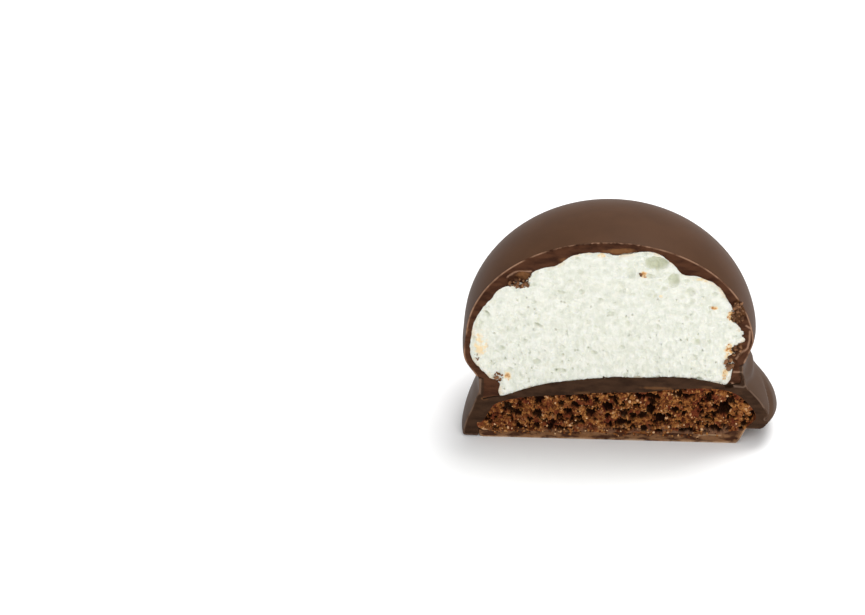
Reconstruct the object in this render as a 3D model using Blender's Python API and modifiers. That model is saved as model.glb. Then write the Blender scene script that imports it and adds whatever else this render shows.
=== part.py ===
# Half of a chocolate covered marshmallow, cut from top to bottom just in front of its axis.
# Metres, +Z up. The cut faces -Y, and the piece stands on Z = 0 below the middle of its box.
#
# The layers are turned about one upright axis as if the piece had set evenly. One map, settle,
# then gives all of them the lean, the depth and the spread foot of the real piece at once,
# so they stay apart by the same small gap. The knife comes last.

import math
import random

import bmesh
import bpy
from mathutils import Vector, noise

MM = 0.001
GAP = 0.3 * MM
TURN_STEPS = 50

# The dome of coating
DOME_RADIUS = 26.6 * MM
DOME_WIDEST = 20.0 * MM
DOME_TOP = 41.1 * MM
DOME_ROUNDNESS = 2.04
DOME_TUCK = 1.85 * MM
DOME_TUCK_POWER = 1.3
WAIST_HEIGHT = 14.6 * MM
DOME_FOOT_RADIUS = 23.6 * MM
SEAT_HEIGHT = 10.2 * MM

# The marshmallow
MARSH_RADIUS = 25.05 * MM
MARSH_TOP = 38.95 * MM
MARSH_FOOT_RADIUS = 20.4 * MM
MARSH_SHIFT = -0.4 * MM

# The coating of the biscuit
ARCH_TOP = 12.9 * MM
ARCH_DROP = 2.7 * MM
ARCH_RADIUS = 20.0 * MM
ARCH_POWER = 3.1
COLLAR_TOP = 14.2 * MM
COLLAR_FOOT = 11.5 * MM
BASE_WAIST_RADIUS = 24.45 * MM
BASE_RADIUS = 26.95 * MM
BASE_SLOPE = 1.45
BASE_ROUNDING = 0.8 * MM
BASE_UNDERSIDE = 0.3 * MM

# The biscuit and the thin layer beneath it
BISCUIT_RADIUS = 24.35 * MM
BISCUIT_TOP = 9.7 * MM
BISCUIT_BOTTOM = 1.7 * MM
BISCUIT_MIDDLE = 3.0 * MM
BISCUIT_FLAT = 15.0 * MM
BISCUIT_FULLNESS = 0.8
BISCUIT_CHAMFER = 1.2 * MM
BOTTOM_RADIUS = 24.1 * MM
BOTTOM_ROUNDING = 0.7 * MM

# How the piece settled: it leans, and its foot spreads to one side
DEPTH_STRETCH = 1.16
LEAN = 0.09
LEAN_FULL = 9.0 * MM
LEAN_FADES = 13.0 * MM
LEAN_GONE = 26.0 * MM
DOME_SHIFT = -0.4 * MM
SPREAD = 4.2 * MM
SPREAD_ANGLE = 6.0
SPREAD_FRONT = 34.0
SPREAD_BACK = 13.5
SPREAD_HEIGHT = 8.2 * MM
SPREAD_SOFTNESS = 1.2 * MM
SPREAD_LOW = 0.5
SPREAD_FULL = 3.0 * MM
BAND_SWELL = 1.0 * MM
BAND_HEIGHT = 11.0 * MM
BAND_SOFTNESS = 1.1 * MM

# The knife pinched the near side of the waist
PINCH = 1.0 * MM
PINCH_ANGLE = -16.0
PINCH_WIDTH = 9.0
PINCH_HEIGHT = 10.6 * MM
PINCH_REACH = 2.0 * MM

# The far front corner stands out a little
CORNER = 0.35 * MM
CORNER_ANGLE = 192.0
CORNER_WIDTH = 16.0
CORNER_FULL = 9.0 * MM
CORNER_TOP = 12.0 * MM
# Above the waist the dome bulges out over it on that side
JOWL = 0.8 * MM
JOWL_HEIGHT = 17.6 * MM
JOWL_REACH = 2.0 * MM
# Beneath it the biscuit's edge tapers off
TAPER = 2.4 * MM
TAPER_AROUND = 23.6 * MM
TAPER_REACH = 1.7 * MM
TAPER_WIDTH = 25.0
TAPER_HEIGHT = 7.0 * MM
TAPER_RISE = 2.6 * MM

# The seat of the marshmallow reaches further out on the side of the spread foot
NUDGE = 1.4 * MM
NUDGE_FROM = 8.0 * MM
NUDGE_FULL = 19.0 * MM
NUDGE_FADES = 20.5 * MM
NUDGE_GONE = 26.0 * MM
NUDGE_HEIGHT = 11.0 * MM
NUDGE_REACH = 3.0 * MM

# The near foot is raised, and a crease that climbs backwards parts it from the rest
RAISE = 2.9 * MM
RAISE_ANGLE = -14.0
RAISE_WIDTH = 24.0
RAISE_HEIGHT = 6.0 * MM
RAISE_INNER = 22.5 * MM
RAISE_OUTER = 24.5 * MM
CREASE = 1.0 * MM
CREASE_ANGLE = -21.0
CREASE_CLIMB = 3.0 / MM
CREASE_WIDTH = 2.5
CREASE_INNER = 24.3 * MM
CREASE_OUTER = 26.0 * MM
CREASE_FULL = 5.5 * MM
CREASE_TOP = 8.5 * MM

# The knife: its plane, the size of its face and the grid of that face
CUT_Y = -6.2 * MM
KNIFE_DEPTH = 40.0 * MM
KNIFE_LEFT = -34.0 * MM
KNIFE_RIGHT = 38.0 * MM
KNIFE_FLOOR = -2.0 * MM
KNIFE_CEILING = 46.0 * MM

# Thick and thin places of the coating at the cut: angle about the marshmallow's middle in
# degrees, how far the coating reaches in, and its half width in degrees
LUMPS = (
    (201.0, 1.2 * MM, 6.0),
    (159.0, 0.7 * MM, 8.0),
    (140.5, 2.5 * MM, 8.0),
    (122.0, 1.6 * MM, 9.0),
    (86.0, 0.6 * MM, 6.0),
    (67.0, -1.1 * MM, 8.5),
    (48.0, 1.2 * MM, 5.0),
    (32.0, -0.7 * MM, 7.0),
    (14.0, 1.0 * MM, 4.0),
    (-6.3, 1.9 * MM, 5.5),
    (-17.0, 0.2 * MM, 5.0),
)
LUMP_DEPTH = 7.0 * MM
LUMP_SKIN = 1.2 * MM

# Bubbles that the knife opened in the marshmallow: centre x and z, half width,
# half height and depth
BUBBLES = (
    (7.7 * MM, 36.6 * MM, 2.3 * MM, 1.3 * MM, 1.3 * MM),
    (10.9 * MM, 33.2 * MM, 1.2 * MM, 1.4 * MM, 0.9 * MM),
    (1.4 * MM, 31.1 * MM, 1.3 * MM, 1.5 * MM, 0.6 * MM),
    (-13.4 * MM, 23.4 * MM, 1.7 * MM, 1.2 * MM, 0.6 * MM),
    (-6.0 * MM, 29.0 * MM, 1.8 * MM, 1.2 * MM, 0.4 * MM),
    (-12.0 * MM, 15.5 * MM, 1.8 * MM, 1.2 * MM, 0.5 * MM),
    (16.5 * MM, 20.0 * MM, 1.5 * MM, 1.2 * MM, 0.5 * MM),
)
MARSH_GRAIN = 0.25 * MM
MARSH_CELL = 1.6 * MM
PORE_COUNT = 70
PORE_RADIUS = (0.7 * MM, 1.7 * MM)
PORE_DEPTH = (0.4 * MM, 1.2 * MM)
BISCUIT_GRAIN = 0.3 * MM
BISCUIT_CELL = 0.85 * MM
COATING_GRAIN = 0.12 * MM
COATING_CELL = 4.0 * MM
SEED = 7


def clear_scene():
    for old in list(bpy.data.objects):
        bpy.data.objects.remove(old, do_unlink=True)


def new_collection(name):
    collection = bpy.data.collections.new(name)
    bpy.context.scene.collection.children.link(collection)
    return collection


def new_material(name, colour, roughness):
    material = bpy.data.materials.new(name)
    material.use_nodes = True
    shader = material.node_tree.nodes["Principled BSDF"]
    shader.inputs["Base Color"].default_value = (*colour, 1.0)
    shader.inputs["Roughness"].default_value = roughness
    shader.inputs["Metallic"].default_value = 0.0
    return material


def bell(value, middle, width):
    return math.exp(-((value - middle) / width) ** 2)


def smoothstep(low, high, value):
    t = min(max((value - low) / (high - low), 0.0), 1.0)
    return t * t * (3.0 - 2.0 * t)


# Profiles, as (radius, height) from the top of the axis down the outer side


def dome_curve(radius, widest, top, steps):
    """The upper half of a rounded dome, from its top to its widest level."""
    power = 2.0 / DOME_ROUNDNESS
    points = []
    for step in range(steps + 1):
        angle = math.pi / 2 * (1 - step / steps)
        points.append((radius * math.cos(angle) ** power if step else 0.0,
                       widest + (top - widest) * math.sin(angle) ** power))
    points[-1] = (radius, widest)
    return points


def arch_height(radius):
    """Top of the coating under the marshmallow."""
    return ARCH_TOP - ARCH_DROP * (radius / ARCH_RADIUS) ** ARCH_POWER


def upright(radius, start, end, steps=6):
    """A straight wall with enough points to follow the map that bends it."""
    return [(radius, start + (end - start) * step / steps) for step in range(steps + 1)]


def dome_profile():
    points = dome_curve(DOME_RADIUS, DOME_WIDEST, DOME_TOP, 16)
    tuck_steps = 5
    for step in range(1, tuck_steps + 1):
        t = step / tuck_steps
        points.append((DOME_RADIUS - DOME_TUCK * t ** DOME_TUCK_POWER,
                       DOME_WIDEST + (WAIST_HEIGHT - DOME_WIDEST) * t))
    shoulder = COLLAR_TOP + 0.9 * GAP
    points += upright(DOME_FOOT_RADIUS, shoulder, SEAT_HEIGHT + GAP)
    points.append((MARSH_FOOT_RADIUS, SEAT_HEIGHT + GAP))
    points.append((0.0, SEAT_HEIGHT + GAP))
    return points


def marsh_side(grow, steps):
    """Side of the marshmallow down to its foot, moved outwards by grow."""
    points = dome_curve(MARSH_RADIUS + grow, DOME_WIDEST, MARSH_TOP + grow, 12)
    foot = SEAT_HEIGHT + GAP
    for step in range(1, steps + 1):
        t = step / steps
        radius = MARSH_RADIUS - (MARSH_RADIUS - MARSH_FOOT_RADIUS) * t ** 1.25
        points.append((radius + grow, DOME_WIDEST + (foot - DOME_WIDEST) * t))
    return points


def marshmallow_profile():
    points = marsh_side(0.0, 7)
    rings = 6
    for ring in range(rings - 1, -1, -1):
        radius = MARSH_FOOT_RADIUS * ring / rings
        points.append((radius, arch_height(radius) + GAP))
    return points


def cavity_profile():
    """The room that the marshmallow takes in the dome, open downwards."""
    points = marsh_side(GAP, 7)
    points.append((MARSH_FOOT_RADIUS + GAP, SEAT_HEIGHT - 4 * MM))
    points.append((0.0, SEAT_HEIGHT - 4 * MM))
    return points


def base_radius(height):
    rise = min(max(height - BASE_ROUNDING, 0.0) / (COLLAR_FOOT - BASE_ROUNDING), 1.0)
    return BASE_RADIUS - (BASE_RADIUS - BASE_WAIST_RADIUS) * rise ** BASE_SLOPE


def biscuit_side(grow):
    """The biscuit's rounded edge from its flat top round to its underside."""
    points = []
    steps = 7
    for step in range(steps + 1):
        angle = math.pi / 2 * (1 - step / steps)
        out = max(math.cos(angle), 0.0) ** BISCUIT_FULLNESS
        up = math.sin(angle) ** BISCUIT_FULLNESS
        points.append((BISCUIT_FLAT + (BISCUIT_RADIUS - BISCUIT_FLAT) * out + grow,
                       BISCUIT_MIDDLE + (BISCUIT_TOP - BISCUIT_MIDDLE) * up + grow))
    points[0] = (BISCUIT_FLAT, BISCUIT_TOP + grow)
    points.append((BISCUIT_RADIUS - 0.3 * MM + grow, BISCUIT_BOTTOM + 0.7 * MM))
    return points


def biscuit_profile():
    points = [(0.0, BISCUIT_TOP), (BISCUIT_FLAT / 2, BISCUIT_TOP)]
    points += biscuit_side(0.0)
    points.append((BISCUIT_RADIUS - BISCUIT_CHAMFER, BISCUIT_BOTTOM))
    points.append((RAISE_INNER, BISCUIT_BOTTOM))
    points.append((BISCUIT_FLAT, BISCUIT_BOTTOM))
    points.append((BISCUIT_FLAT / 2, BISCUIT_BOTTOM))
    points.append((0.0, BISCUIT_BOTTOM))
    return points


def base_profile():
    points = []
    rings = 7
    for ring in range(rings + 1):
        radius = MARSH_FOOT_RADIUS * ring / rings
        points.append((radius, arch_height(radius)))
    collar_inner = DOME_FOOT_RADIUS + GAP
    points += upright(collar_inner, SEAT_HEIGHT, COLLAR_TOP - 0.2 * MM)
    side_steps = 9
    for step in range(side_steps + 1):
        height = COLLAR_TOP + (BASE_ROUNDING - COLLAR_TOP) * step / side_steps
        points.append((base_radius(height), height))
    corner_steps = 3
    for step in range(1, corner_steps + 1):
        angle = math.pi / 2 * step / corner_steps
        points.append((BASE_RADIUS - BASE_ROUNDING * (1 - math.cos(angle)),
                       BASE_ROUNDING - (BASE_ROUNDING - BASE_UNDERSIDE) * math.sin(angle)))
    inner = BISCUIT_RADIUS - 0.3 * MM + GAP
    points.append((inner, BASE_UNDERSIDE))
    points += reversed(biscuit_side(GAP))
    points.append((BISCUIT_FLAT / 2, BISCUIT_TOP + GAP))
    points.append((0.0, BISCUIT_TOP + GAP))
    return points


def bottom_profile():
    top = BISCUIT_BOTTOM - GAP
    return [
        (0.0, top),
        (BISCUIT_FLAT / 2, top),
        (BISCUIT_FLAT, top),
        (RAISE_INNER, top),
        (BISCUIT_RADIUS - BISCUIT_CHAMFER, top),
        (BOTTOM_RADIUS - BOTTOM_ROUNDING / 2, top),
        (BOTTOM_RADIUS, top - BOTTOM_ROUNDING / 2),
        (BOTTOM_RADIUS, BOTTOM_ROUNDING),
        (BOTTOM_RADIUS - 0.3 * BOTTOM_ROUNDING, 0.3 * BOTTOM_ROUNDING),
        (BOTTOM_RADIUS - BOTTOM_ROUNDING, 0.0),
        (RAISE_INNER, 0.0),
        (0.0, 0.0),
    ]


# Maps from the evenly set piece to the real one


def skin_depth(x, y, z):
    """How far a point lies under the outer surface of the evenly turned dome."""
    if z < DOME_WIDEST:
        tuck = min((DOME_WIDEST - z) / (DOME_WIDEST - WAIST_HEIGHT), 1.0)
        return DOME_RADIUS - DOME_TUCK * tuck ** DOME_TUCK_POWER - math.hypot(x, y)
    rise = (z - DOME_WIDEST) / (DOME_TOP - DOME_WIDEST)
    spread = math.hypot(x, y) / DOME_RADIUS
    size = (rise ** DOME_ROUNDNESS + spread ** DOME_ROUNDNESS) ** (1 / DOME_ROUNDNESS)
    return (1 - size) * math.hypot(x, y, z - DOME_WIDEST) / max(size, 0.001)


def turned_angle(across, along):
    """Angle in degrees from -90 round to 270, so that the whole cut piece has no jump."""
    angle = math.degrees(math.atan2(along, across))
    return angle + 360 if angle < -90 else angle


def lump_at(x, y, z):
    """How far the coating presses in at a point of the marshmallow's surface."""
    angle = turned_angle(x - MARSH_SHIFT, z - DOME_WIDEST)
    behind = bell(y * DEPTH_STRETCH, CUT_Y, LUMP_DEPTH)
    return behind * sum(reach * bell(angle, middle, width) for middle, reach, width in LUMPS)


def press(point):
    """Shift the filling sideways in the dome and press the coating's lumps into it."""
    x, y, z = point
    inside = smoothstep(0.0, LUMP_SKIN, skin_depth(x, y, z))
    x += MARSH_SHIFT * smoothstep(12 * MM, 20 * MM, z) * inside
    inward = Vector((0.0, 0.0, DOME_WIDEST)) - Vector((x, y, z))
    low = smoothstep(SEAT_HEIGHT + 1 * MM, SEAT_HEIGHT + 3 * MM, z)
    push = lump_at(x, y, z) * inside * low
    if inward.length > push:
        return Vector((x, y, z)) + inward.normalized() * push
    return Vector((x, y, z))


def foot_spread(angle, z):
    """How far the foot and the band above it stand out to one side."""
    foot = SPREAD / (1 + math.exp((z - SPREAD_HEIGHT) / SPREAD_SOFTNESS))
    foot *= SPREAD_LOW + (1 - SPREAD_LOW) * smoothstep(0.0, SPREAD_FULL, z)
    foot += BAND_SWELL * bell(z, BAND_HEIGHT, BAND_SOFTNESS)
    foot *= bell(angle, SPREAD_ANGLE, SPREAD_BACK if angle > SPREAD_ANGLE else SPREAD_FRONT)
    pinch = PINCH * bell(angle, PINCH_ANGLE, PINCH_WIDTH) * bell(z, PINCH_HEIGHT, PINCH_REACH)
    corner = CORNER * (1 - smoothstep(CORNER_FULL, CORNER_TOP, z)) + JOWL * bell(z, JOWL_HEIGHT, JOWL_REACH)
    return foot - pinch + corner * bell(angle, CORNER_ANGLE, CORNER_WIDTH)


def settle(point):
    """Lean, depth and spread foot, the same for every layer."""
    x, y, z = point
    around = math.hypot(x, y)
    y *= DEPTH_STRETCH
    angle = turned_angle(x, y)
    crease = CREASE * bell(angle, CREASE_ANGLE + CREASE_CLIMB * z, CREASE_WIDTH)
    crease *= smoothstep(CREASE_INNER, CREASE_OUTER, around) * (1 - smoothstep(CREASE_FULL, CREASE_TOP, z))
    scale = 1 + (foot_spread(angle, z) - crease) / BASE_RADIUS
    lean = LEAN * x * min(z / LEAN_FULL, 1.0) * (1 - smoothstep(LEAN_FADES, LEAN_GONE, z))
    raised = RAISE * bell(angle, RAISE_ANGLE, RAISE_WIDTH) * max(1 - z / RAISE_HEIGHT, 0.0)
    raised *= smoothstep(RAISE_INNER, RAISE_OUTER, around)
    taper = TAPER * bell(around, TAPER_AROUND, TAPER_REACH) * bell(angle, CORNER_ANGLE, TAPER_WIDTH)
    taper *= bell(z, TAPER_HEIGHT, TAPER_RISE)
    shift = DOME_SHIFT * smoothstep(LEAN_FADES, DOME_WIDEST, z)
    nudge = NUDGE * smoothstep(NUDGE_FROM, NUDGE_FULL, x) * (1 - smoothstep(NUDGE_FADES, NUDGE_GONE, x))
    nudge *= bell(z, NUDGE_HEIGHT, NUDGE_REACH)
    return Vector((x * scale + shift + nudge, y * scale, z + lean + raised - taper))


# Solids


def tidy_mesh(mesh):
    work = bmesh.new()
    work.from_mesh(mesh)
    bmesh.ops.remove_doubles(work, verts=work.verts, dist=0.001 * MM)
    bmesh.ops.dissolve_degenerate(work, edges=work.edges, dist=0.001 * MM)
    work.to_mesh(mesh)
    work.free()


def evaluated_mesh(source):
    """The object's mesh with its modifiers applied, as a new mesh."""
    bpy.context.view_layer.update()
    graph = bpy.context.evaluated_depsgraph_get()
    return bpy.data.meshes.new_from_object(source.evaluated_get(graph))


def turned(name, profile, collection):
    """A solid turned about Z from a profile of (radius, height) points."""
    outline = bpy.data.meshes.new(name + "_profile")
    outline.from_pydata([(radius, 0.0, height) for radius, height in profile],
                        [(i, i + 1) for i in range(len(profile) - 1)], [])
    blank = bpy.data.objects.new(name + "_profile", outline)
    collection.objects.link(blank)
    screw = blank.modifiers.new("turn", "SCREW")
    screw.steps = TURN_STEPS
    screw.render_steps = TURN_STEPS
    screw.use_merge_vertices = True
    screw.merge_threshold = 0.001 * MM
    mesh = evaluated_mesh(blank)
    mesh.name = name
    bpy.data.objects.remove(blank, do_unlink=True)
    tidy_mesh(mesh)
    solid = bpy.data.objects.new(name, mesh)
    collection.objects.link(solid)
    return solid


def reshape(solid, rule):
    for vertex in solid.data.vertices:
        vertex.co = rule(vertex.co)


def subtract(solid, cutter):
    cut = solid.modifiers.new(cutter.name, "BOOLEAN")
    cut.operation = "DIFFERENCE"
    cut.solver = "EXACT"
    cut.object = cutter


def hide_cutter(cutter):
    cutter.hide_render = True
    cutter.display_type = "WIRE"


def knife(name, cell, relief, collection):
    """A block in front of the cut whose rear face carries what the blade left."""
    wide = KNIFE_RIGHT - KNIFE_LEFT
    high = KNIFE_CEILING - KNIFE_FLOOR
    work = bmesh.new()
    bmesh.ops.create_grid(work, x_segments=round(wide / cell), y_segments=round(high / cell), size=0.5)
    for vertex in work.verts:
        x = KNIFE_LEFT + (vertex.co.x + 0.5) * wide
        z = KNIFE_FLOOR + (vertex.co.y + 0.5) * high
        vertex.co = (x, CUT_Y + relief(x, z), z)
    back = work.faces[:]
    front = bmesh.ops.extrude_face_region(work, geom=back)["geom"]
    moved = [item for item in front if isinstance(item, bmesh.types.BMVert)]
    bmesh.ops.translate(work, verts=moved, vec=(0.0, -KNIFE_DEPTH, 0.0))
    bmesh.ops.recalc_face_normals(work, faces=work.faces)
    mesh = bpy.data.meshes.new(name)
    work.to_mesh(mesh)
    work.free()
    block = bpy.data.objects.new(name, mesh)
    collection.objects.link(block)
    hide_cutter(block)
    return block


def grain(x, z, size, height):
    return height * noise.noise(Vector((x / size, z / size, 3.7)))


def bowl(x, z, pit):
    """Depth of one round-bottomed pit at a point of the cut."""
    middle_x, middle_z, half_wide, half_high, depth = pit
    away = ((x - middle_x) / half_wide) ** 2 + ((z - middle_z) / half_high) ** 2
    return depth * math.sqrt(1 - away) if away < 1 else 0.0


def marshmallow_relief(x, z):
    depth = max(bowl(x, z, bubble) for bubble in BUBBLES)
    return depth + grain(x, z, 2.6 * MM, MARSH_GRAIN)


def biscuit_pores():
    """Pores strewn over the biscuit's cut, larger ones first."""
    draw = random.Random(SEED)
    pores = []
    for number in range(PORE_COUNT):
        size = 1 - number / PORE_COUNT
        radius = PORE_RADIUS[0] + (PORE_RADIUS[1] - PORE_RADIUS[0]) * size * draw.uniform(0.5, 1.0)
        depth = PORE_DEPTH[0] + (PORE_DEPTH[1] - PORE_DEPTH[0]) * draw.random()
        pores.append((draw.uniform(-23 * MM, 27 * MM), draw.uniform(2.0 * MM, 11.0 * MM),
                      radius, radius * draw.uniform(0.6, 1.0), depth))
    return pores


PORES = biscuit_pores()


def biscuit_relief(x, z):
    depth = max(bowl(x, z, pore) for pore in PORES)
    return depth + grain(x, z, 1.3 * MM, BISCUIT_GRAIN)


def coating_relief(x, z):
    return grain(x, z, 6.0 * MM, COATING_GRAIN)


def finish(solid, cutter, material):
    """Settle a turned layer, cut it and give it its material."""
    reshape(solid, settle)
    subtract(solid, cutter)
    solid.data.materials.append(material)
    solid.data.shade_smooth()
    solid.data.set_sharp_from_angle(angle=math.radians(35))


def make_dome_coating(parts, cutters, cutter, material):
    solid = turned("dome_coating", dome_profile(), parts)
    cavity = turned("dome_cavity", cavity_profile(), cutters)
    reshape(cavity, press)
    hide_cutter(cavity)
    subtract(solid, cavity)
    hollow = evaluated_mesh(solid)
    solid.modifiers.clear()
    solid.data = hollow
    solid.data.name = "dome_coating"
    reshape(cavity, settle)
    finish(solid, cutter, material)
    return solid


def make_marshmallow(parts, cutter, material):
    solid = turned("marshmallow", marshmallow_profile(), parts)
    reshape(solid, press)
    finish(solid, cutter, material)
    return solid


def make_layer(name, profile, parts, cutter, material):
    solid = turned(name, profile, parts)
    finish(solid, cutter, material)
    return solid


def stand(parts, cutters):
    """Put the middle of the box's underside at the origin, by way of one empty."""
    graph = bpy.context.evaluated_depsgraph_get()
    corners = []
    for solid in parts.objects:
        shape = solid.evaluated_get(graph).data
        corners += [solid.matrix_world @ vertex.co for vertex in shape.vertices]
    middle_x = (min(c.x for c in corners) + max(c.x for c in corners)) / 2
    middle_y = (min(c.y for c in corners) + max(c.y for c in corners)) / 2
    floor = min(c.z for c in corners)
    centre = bpy.data.objects.new("centre", None)
    members = list(parts.objects) + list(cutters.objects)
    parts.objects.link(centre)
    for member in members:
        member.parent = centre
    centre.location = (-middle_x, -middle_y, -floor)


def main():
    clear_scene()
    parts = new_collection("chocolate_covered_marshmallow")
    cutters = new_collection("cutters")

    dark = new_material("dome_chocolate", (0.105, 0.058, 0.036), 0.34)
    white = new_material("marshmallow", (0.83, 0.83, 0.75), 0.85)
    base = new_material("base_chocolate", (0.068, 0.040, 0.025), 0.42)
    crumb = new_material("cocoa_biscuit", (0.13, 0.052, 0.018), 0.9)
    under = new_material("bottom_chocolate", (0.16, 0.078, 0.042), 0.5)

    plain_knife = knife("knife_coating", COATING_CELL, coating_relief, cutters)
    foam_knife = knife("knife_marshmallow", MARSH_CELL, marshmallow_relief, cutters)
    crumb_knife = knife("knife_biscuit", BISCUIT_CELL, biscuit_relief, cutters)

    make_dome_coating(parts, cutters, plain_knife, dark)
    make_marshmallow(parts, foam_knife, white)
    make_layer("base_coating", base_profile(), parts, plain_knife, base)
    make_layer("biscuit", biscuit_profile(), parts, crumb_knife, crumb)
    make_layer("bottom_layer", bottom_profile(), parts, plain_knife, under)
    stand(parts, cutters)


main()
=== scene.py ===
# %% [markdown]
# # A chocolate covered marshmallow, cut in half
#
# The real sweet is a dome of whipped marshmallow on a cocoa biscuit. The biscuit wears its own coat
# of dark chocolate, and a second, thinner coat covers the dome. A knife went down just in front of
# the middle, so the cut shows every layer.
#
# The CAD model fixes the sizes. This script dresses it: each layer is turned again about the same
# axis with the same rules, but finely enough to carry bubbles, pores, chips and crumbs.

# %% Load the frame
import math
import random

import bmesh
import bpy
import numpy as np
from mathutils import Euler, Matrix, Vector, geometry, noise


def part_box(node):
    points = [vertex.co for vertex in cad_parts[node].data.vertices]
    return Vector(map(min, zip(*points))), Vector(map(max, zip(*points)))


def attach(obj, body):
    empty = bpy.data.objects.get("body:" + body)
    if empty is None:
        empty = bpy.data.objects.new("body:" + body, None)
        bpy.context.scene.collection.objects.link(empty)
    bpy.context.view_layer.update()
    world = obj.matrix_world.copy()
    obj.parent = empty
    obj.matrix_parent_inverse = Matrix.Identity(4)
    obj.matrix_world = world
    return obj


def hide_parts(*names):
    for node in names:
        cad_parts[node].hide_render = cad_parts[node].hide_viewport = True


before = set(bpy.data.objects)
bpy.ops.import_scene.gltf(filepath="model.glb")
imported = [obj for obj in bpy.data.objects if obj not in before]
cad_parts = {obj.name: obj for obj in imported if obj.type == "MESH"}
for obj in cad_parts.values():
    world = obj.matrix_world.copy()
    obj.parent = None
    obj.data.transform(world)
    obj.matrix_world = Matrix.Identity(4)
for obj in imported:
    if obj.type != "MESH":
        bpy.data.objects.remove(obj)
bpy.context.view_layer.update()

MM = 0.001

# %% [markdown]
# ## The axis and the cut
#
# All layers share one upright axis. The dome is widest straight to its left and right, so the middle
# of its box gives the axis in x, once its small shift to the left is taken off. In y the dome's back
# gives it, because the dome is 26.6 mm in radius and stretched a little from front to back. The CAD
# model turns it in 50 flats, and one flat lies across the back, which the cosine allows for.

# %% Find the axis and the cut
DOME_RADIUS = 26.6 * MM
DEPTH_STRETCH = 1.16
CAD_TURN_STEPS = 50
CUT_Y = -6.2 * MM
DOME_SHIFT = -0.4 * MM

dome_low, dome_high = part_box("dome_coating")
AXIS_X = (dome_low.x + dome_high.x) / 2 - DOME_SHIFT
AXIS_Y = dome_high.y - DOME_RADIUS * DEPTH_STRETCH * math.cos(math.pi / CAD_TURN_STEPS)
print("axis at", round(AXIS_X / MM, 2), round(AXIS_Y / MM, 2), "mm")

# %% [markdown]
# ## The camera
#
# The photograph was taken from about 30 degrees above the table with a long lens, and the sweet sits
# right of and below the middle of the picture. The camera therefore looks past it. Its tilt and turn
# are worked out so that the foot of the axis falls on its own pixel.

# %% Place the camera
IMAGE_WIDTH = 865
IMAGE_HEIGHT = 615
SENSOR_WIDTH = 36.0
CAMERA_DISTANCE = 700 * MM
CAMERA_ELEVATION = math.radians(30)
PIXELS_PER_MM = 5.4
AXIS_FOOT_PIXEL = (609.2, 422.8)


def aim_camera():
    focal = PIXELS_PER_MM * CAMERA_DISTANCE / MM
    right = (AXIS_FOOT_PIXEL[0] - IMAGE_WIDTH / 2) / focal
    up = (IMAGE_HEIGHT / 2 - AXIS_FOOT_PIXEL[1]) / focal
    length = math.sqrt(right * right + up * up + 1)
    tilt = math.acos(math.sin(CAMERA_ELEVATION) * length / math.sqrt(1 + up * up)) - math.atan(up)
    turn = math.atan2(right, up * math.cos(tilt) + math.sin(tilt))
    camera = bpy.data.objects.new("camera", bpy.data.cameras.new("camera"))
    bpy.context.scene.collection.objects.link(camera)
    camera.location = (
        AXIS_X,
        AXIS_Y - CAMERA_DISTANCE * math.cos(CAMERA_ELEVATION),
        CAMERA_DISTANCE * math.sin(CAMERA_ELEVATION),
    )
    camera.rotation_euler = Euler((tilt, 0.0, turn))
    camera.data.sensor_width = SENSOR_WIDTH
    camera.data.lens = focal / IMAGE_WIDTH * SENSOR_WIDTH
    bpy.context.scene.camera = camera
    print("lens", round(camera.data.lens, 1), "mm")


aim_camera()

# %% [markdown]
# ## Floor and light
#
# The sweet stands on white paper that runs off into a white wall. A large soft light hangs behind and
# above, which draws the pale shadow towards the viewer, and a second one in front lifts the cut face.
# The world stays dimmer than both, so dark chocolate keeps its depth.

# %% Lay the floor and hang the lights
FLOOR_SIZE = 6.0
FLOOR_WHITE = 0.93
WORLD_STRENGTH = 0.6


def lay_floor():
    work = bmesh.new()
    bmesh.ops.create_grid(work, x_segments=1, y_segments=1, size=FLOOR_SIZE / 2)
    mesh = bpy.data.meshes.new("floor")
    work.to_mesh(mesh)
    work.free()
    floor = bpy.data.objects.new("floor", mesh)
    bpy.context.scene.collection.objects.link(floor)
    material = bpy.data.materials.new("white_paper")
    material.use_nodes = True
    shader = material.node_tree.nodes["Principled BSDF"]
    shader.inputs["Base Color"].default_value = (FLOOR_WHITE, FLOOR_WHITE, FLOOR_WHITE, 1)
    shader.inputs["Roughness"].default_value = 0.9
    shader.inputs["Specular IOR Level"].default_value = 0.1
    floor.data.materials.append(material)


def hang_light(name, place, size, power):
    lamp = bpy.data.lights.new(name, "AREA")
    lamp.shape = "SQUARE"
    lamp.size = size
    lamp.energy = power
    light = bpy.data.objects.new(name, lamp)
    light.location = place
    light.rotation_euler = (-Vector(place)).to_track_quat("-Z", "Y").to_euler()
    bpy.context.scene.collection.objects.link(light)


def light_scene():
    world = bpy.data.worlds.new("studio")
    world.use_nodes = True
    world.node_tree.nodes["Background"].inputs["Color"].default_value = (1, 1, 1, 1)
    world.node_tree.nodes["Background"].inputs["Strength"].default_value = WORLD_STRENGTH
    bpy.context.scene.world = world
    hang_light("back_light", (0.3, 0.5, 1.15), 0.75, 15.0)
    hang_light("front_light", (0.3, -0.95, 0.8), 0.7, 5.0)
    bpy.context.scene.view_settings.view_transform = "Standard"


lay_floor()
light_scene()
print("lights hung:", len(bpy.data.lights))

# %% [markdown]
# ## The profiles
#
# Every layer is a turned shape, so each needs one profile: points of radius and height from the top
# of the axis, down the outer side and back to the axis. The dome is a slightly full ellipse, and the
# coat under the marshmallow is an arch whose edge drops ever faster. The values are those of the CAD
# model, but here the layers touch, as real ones do.

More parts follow.
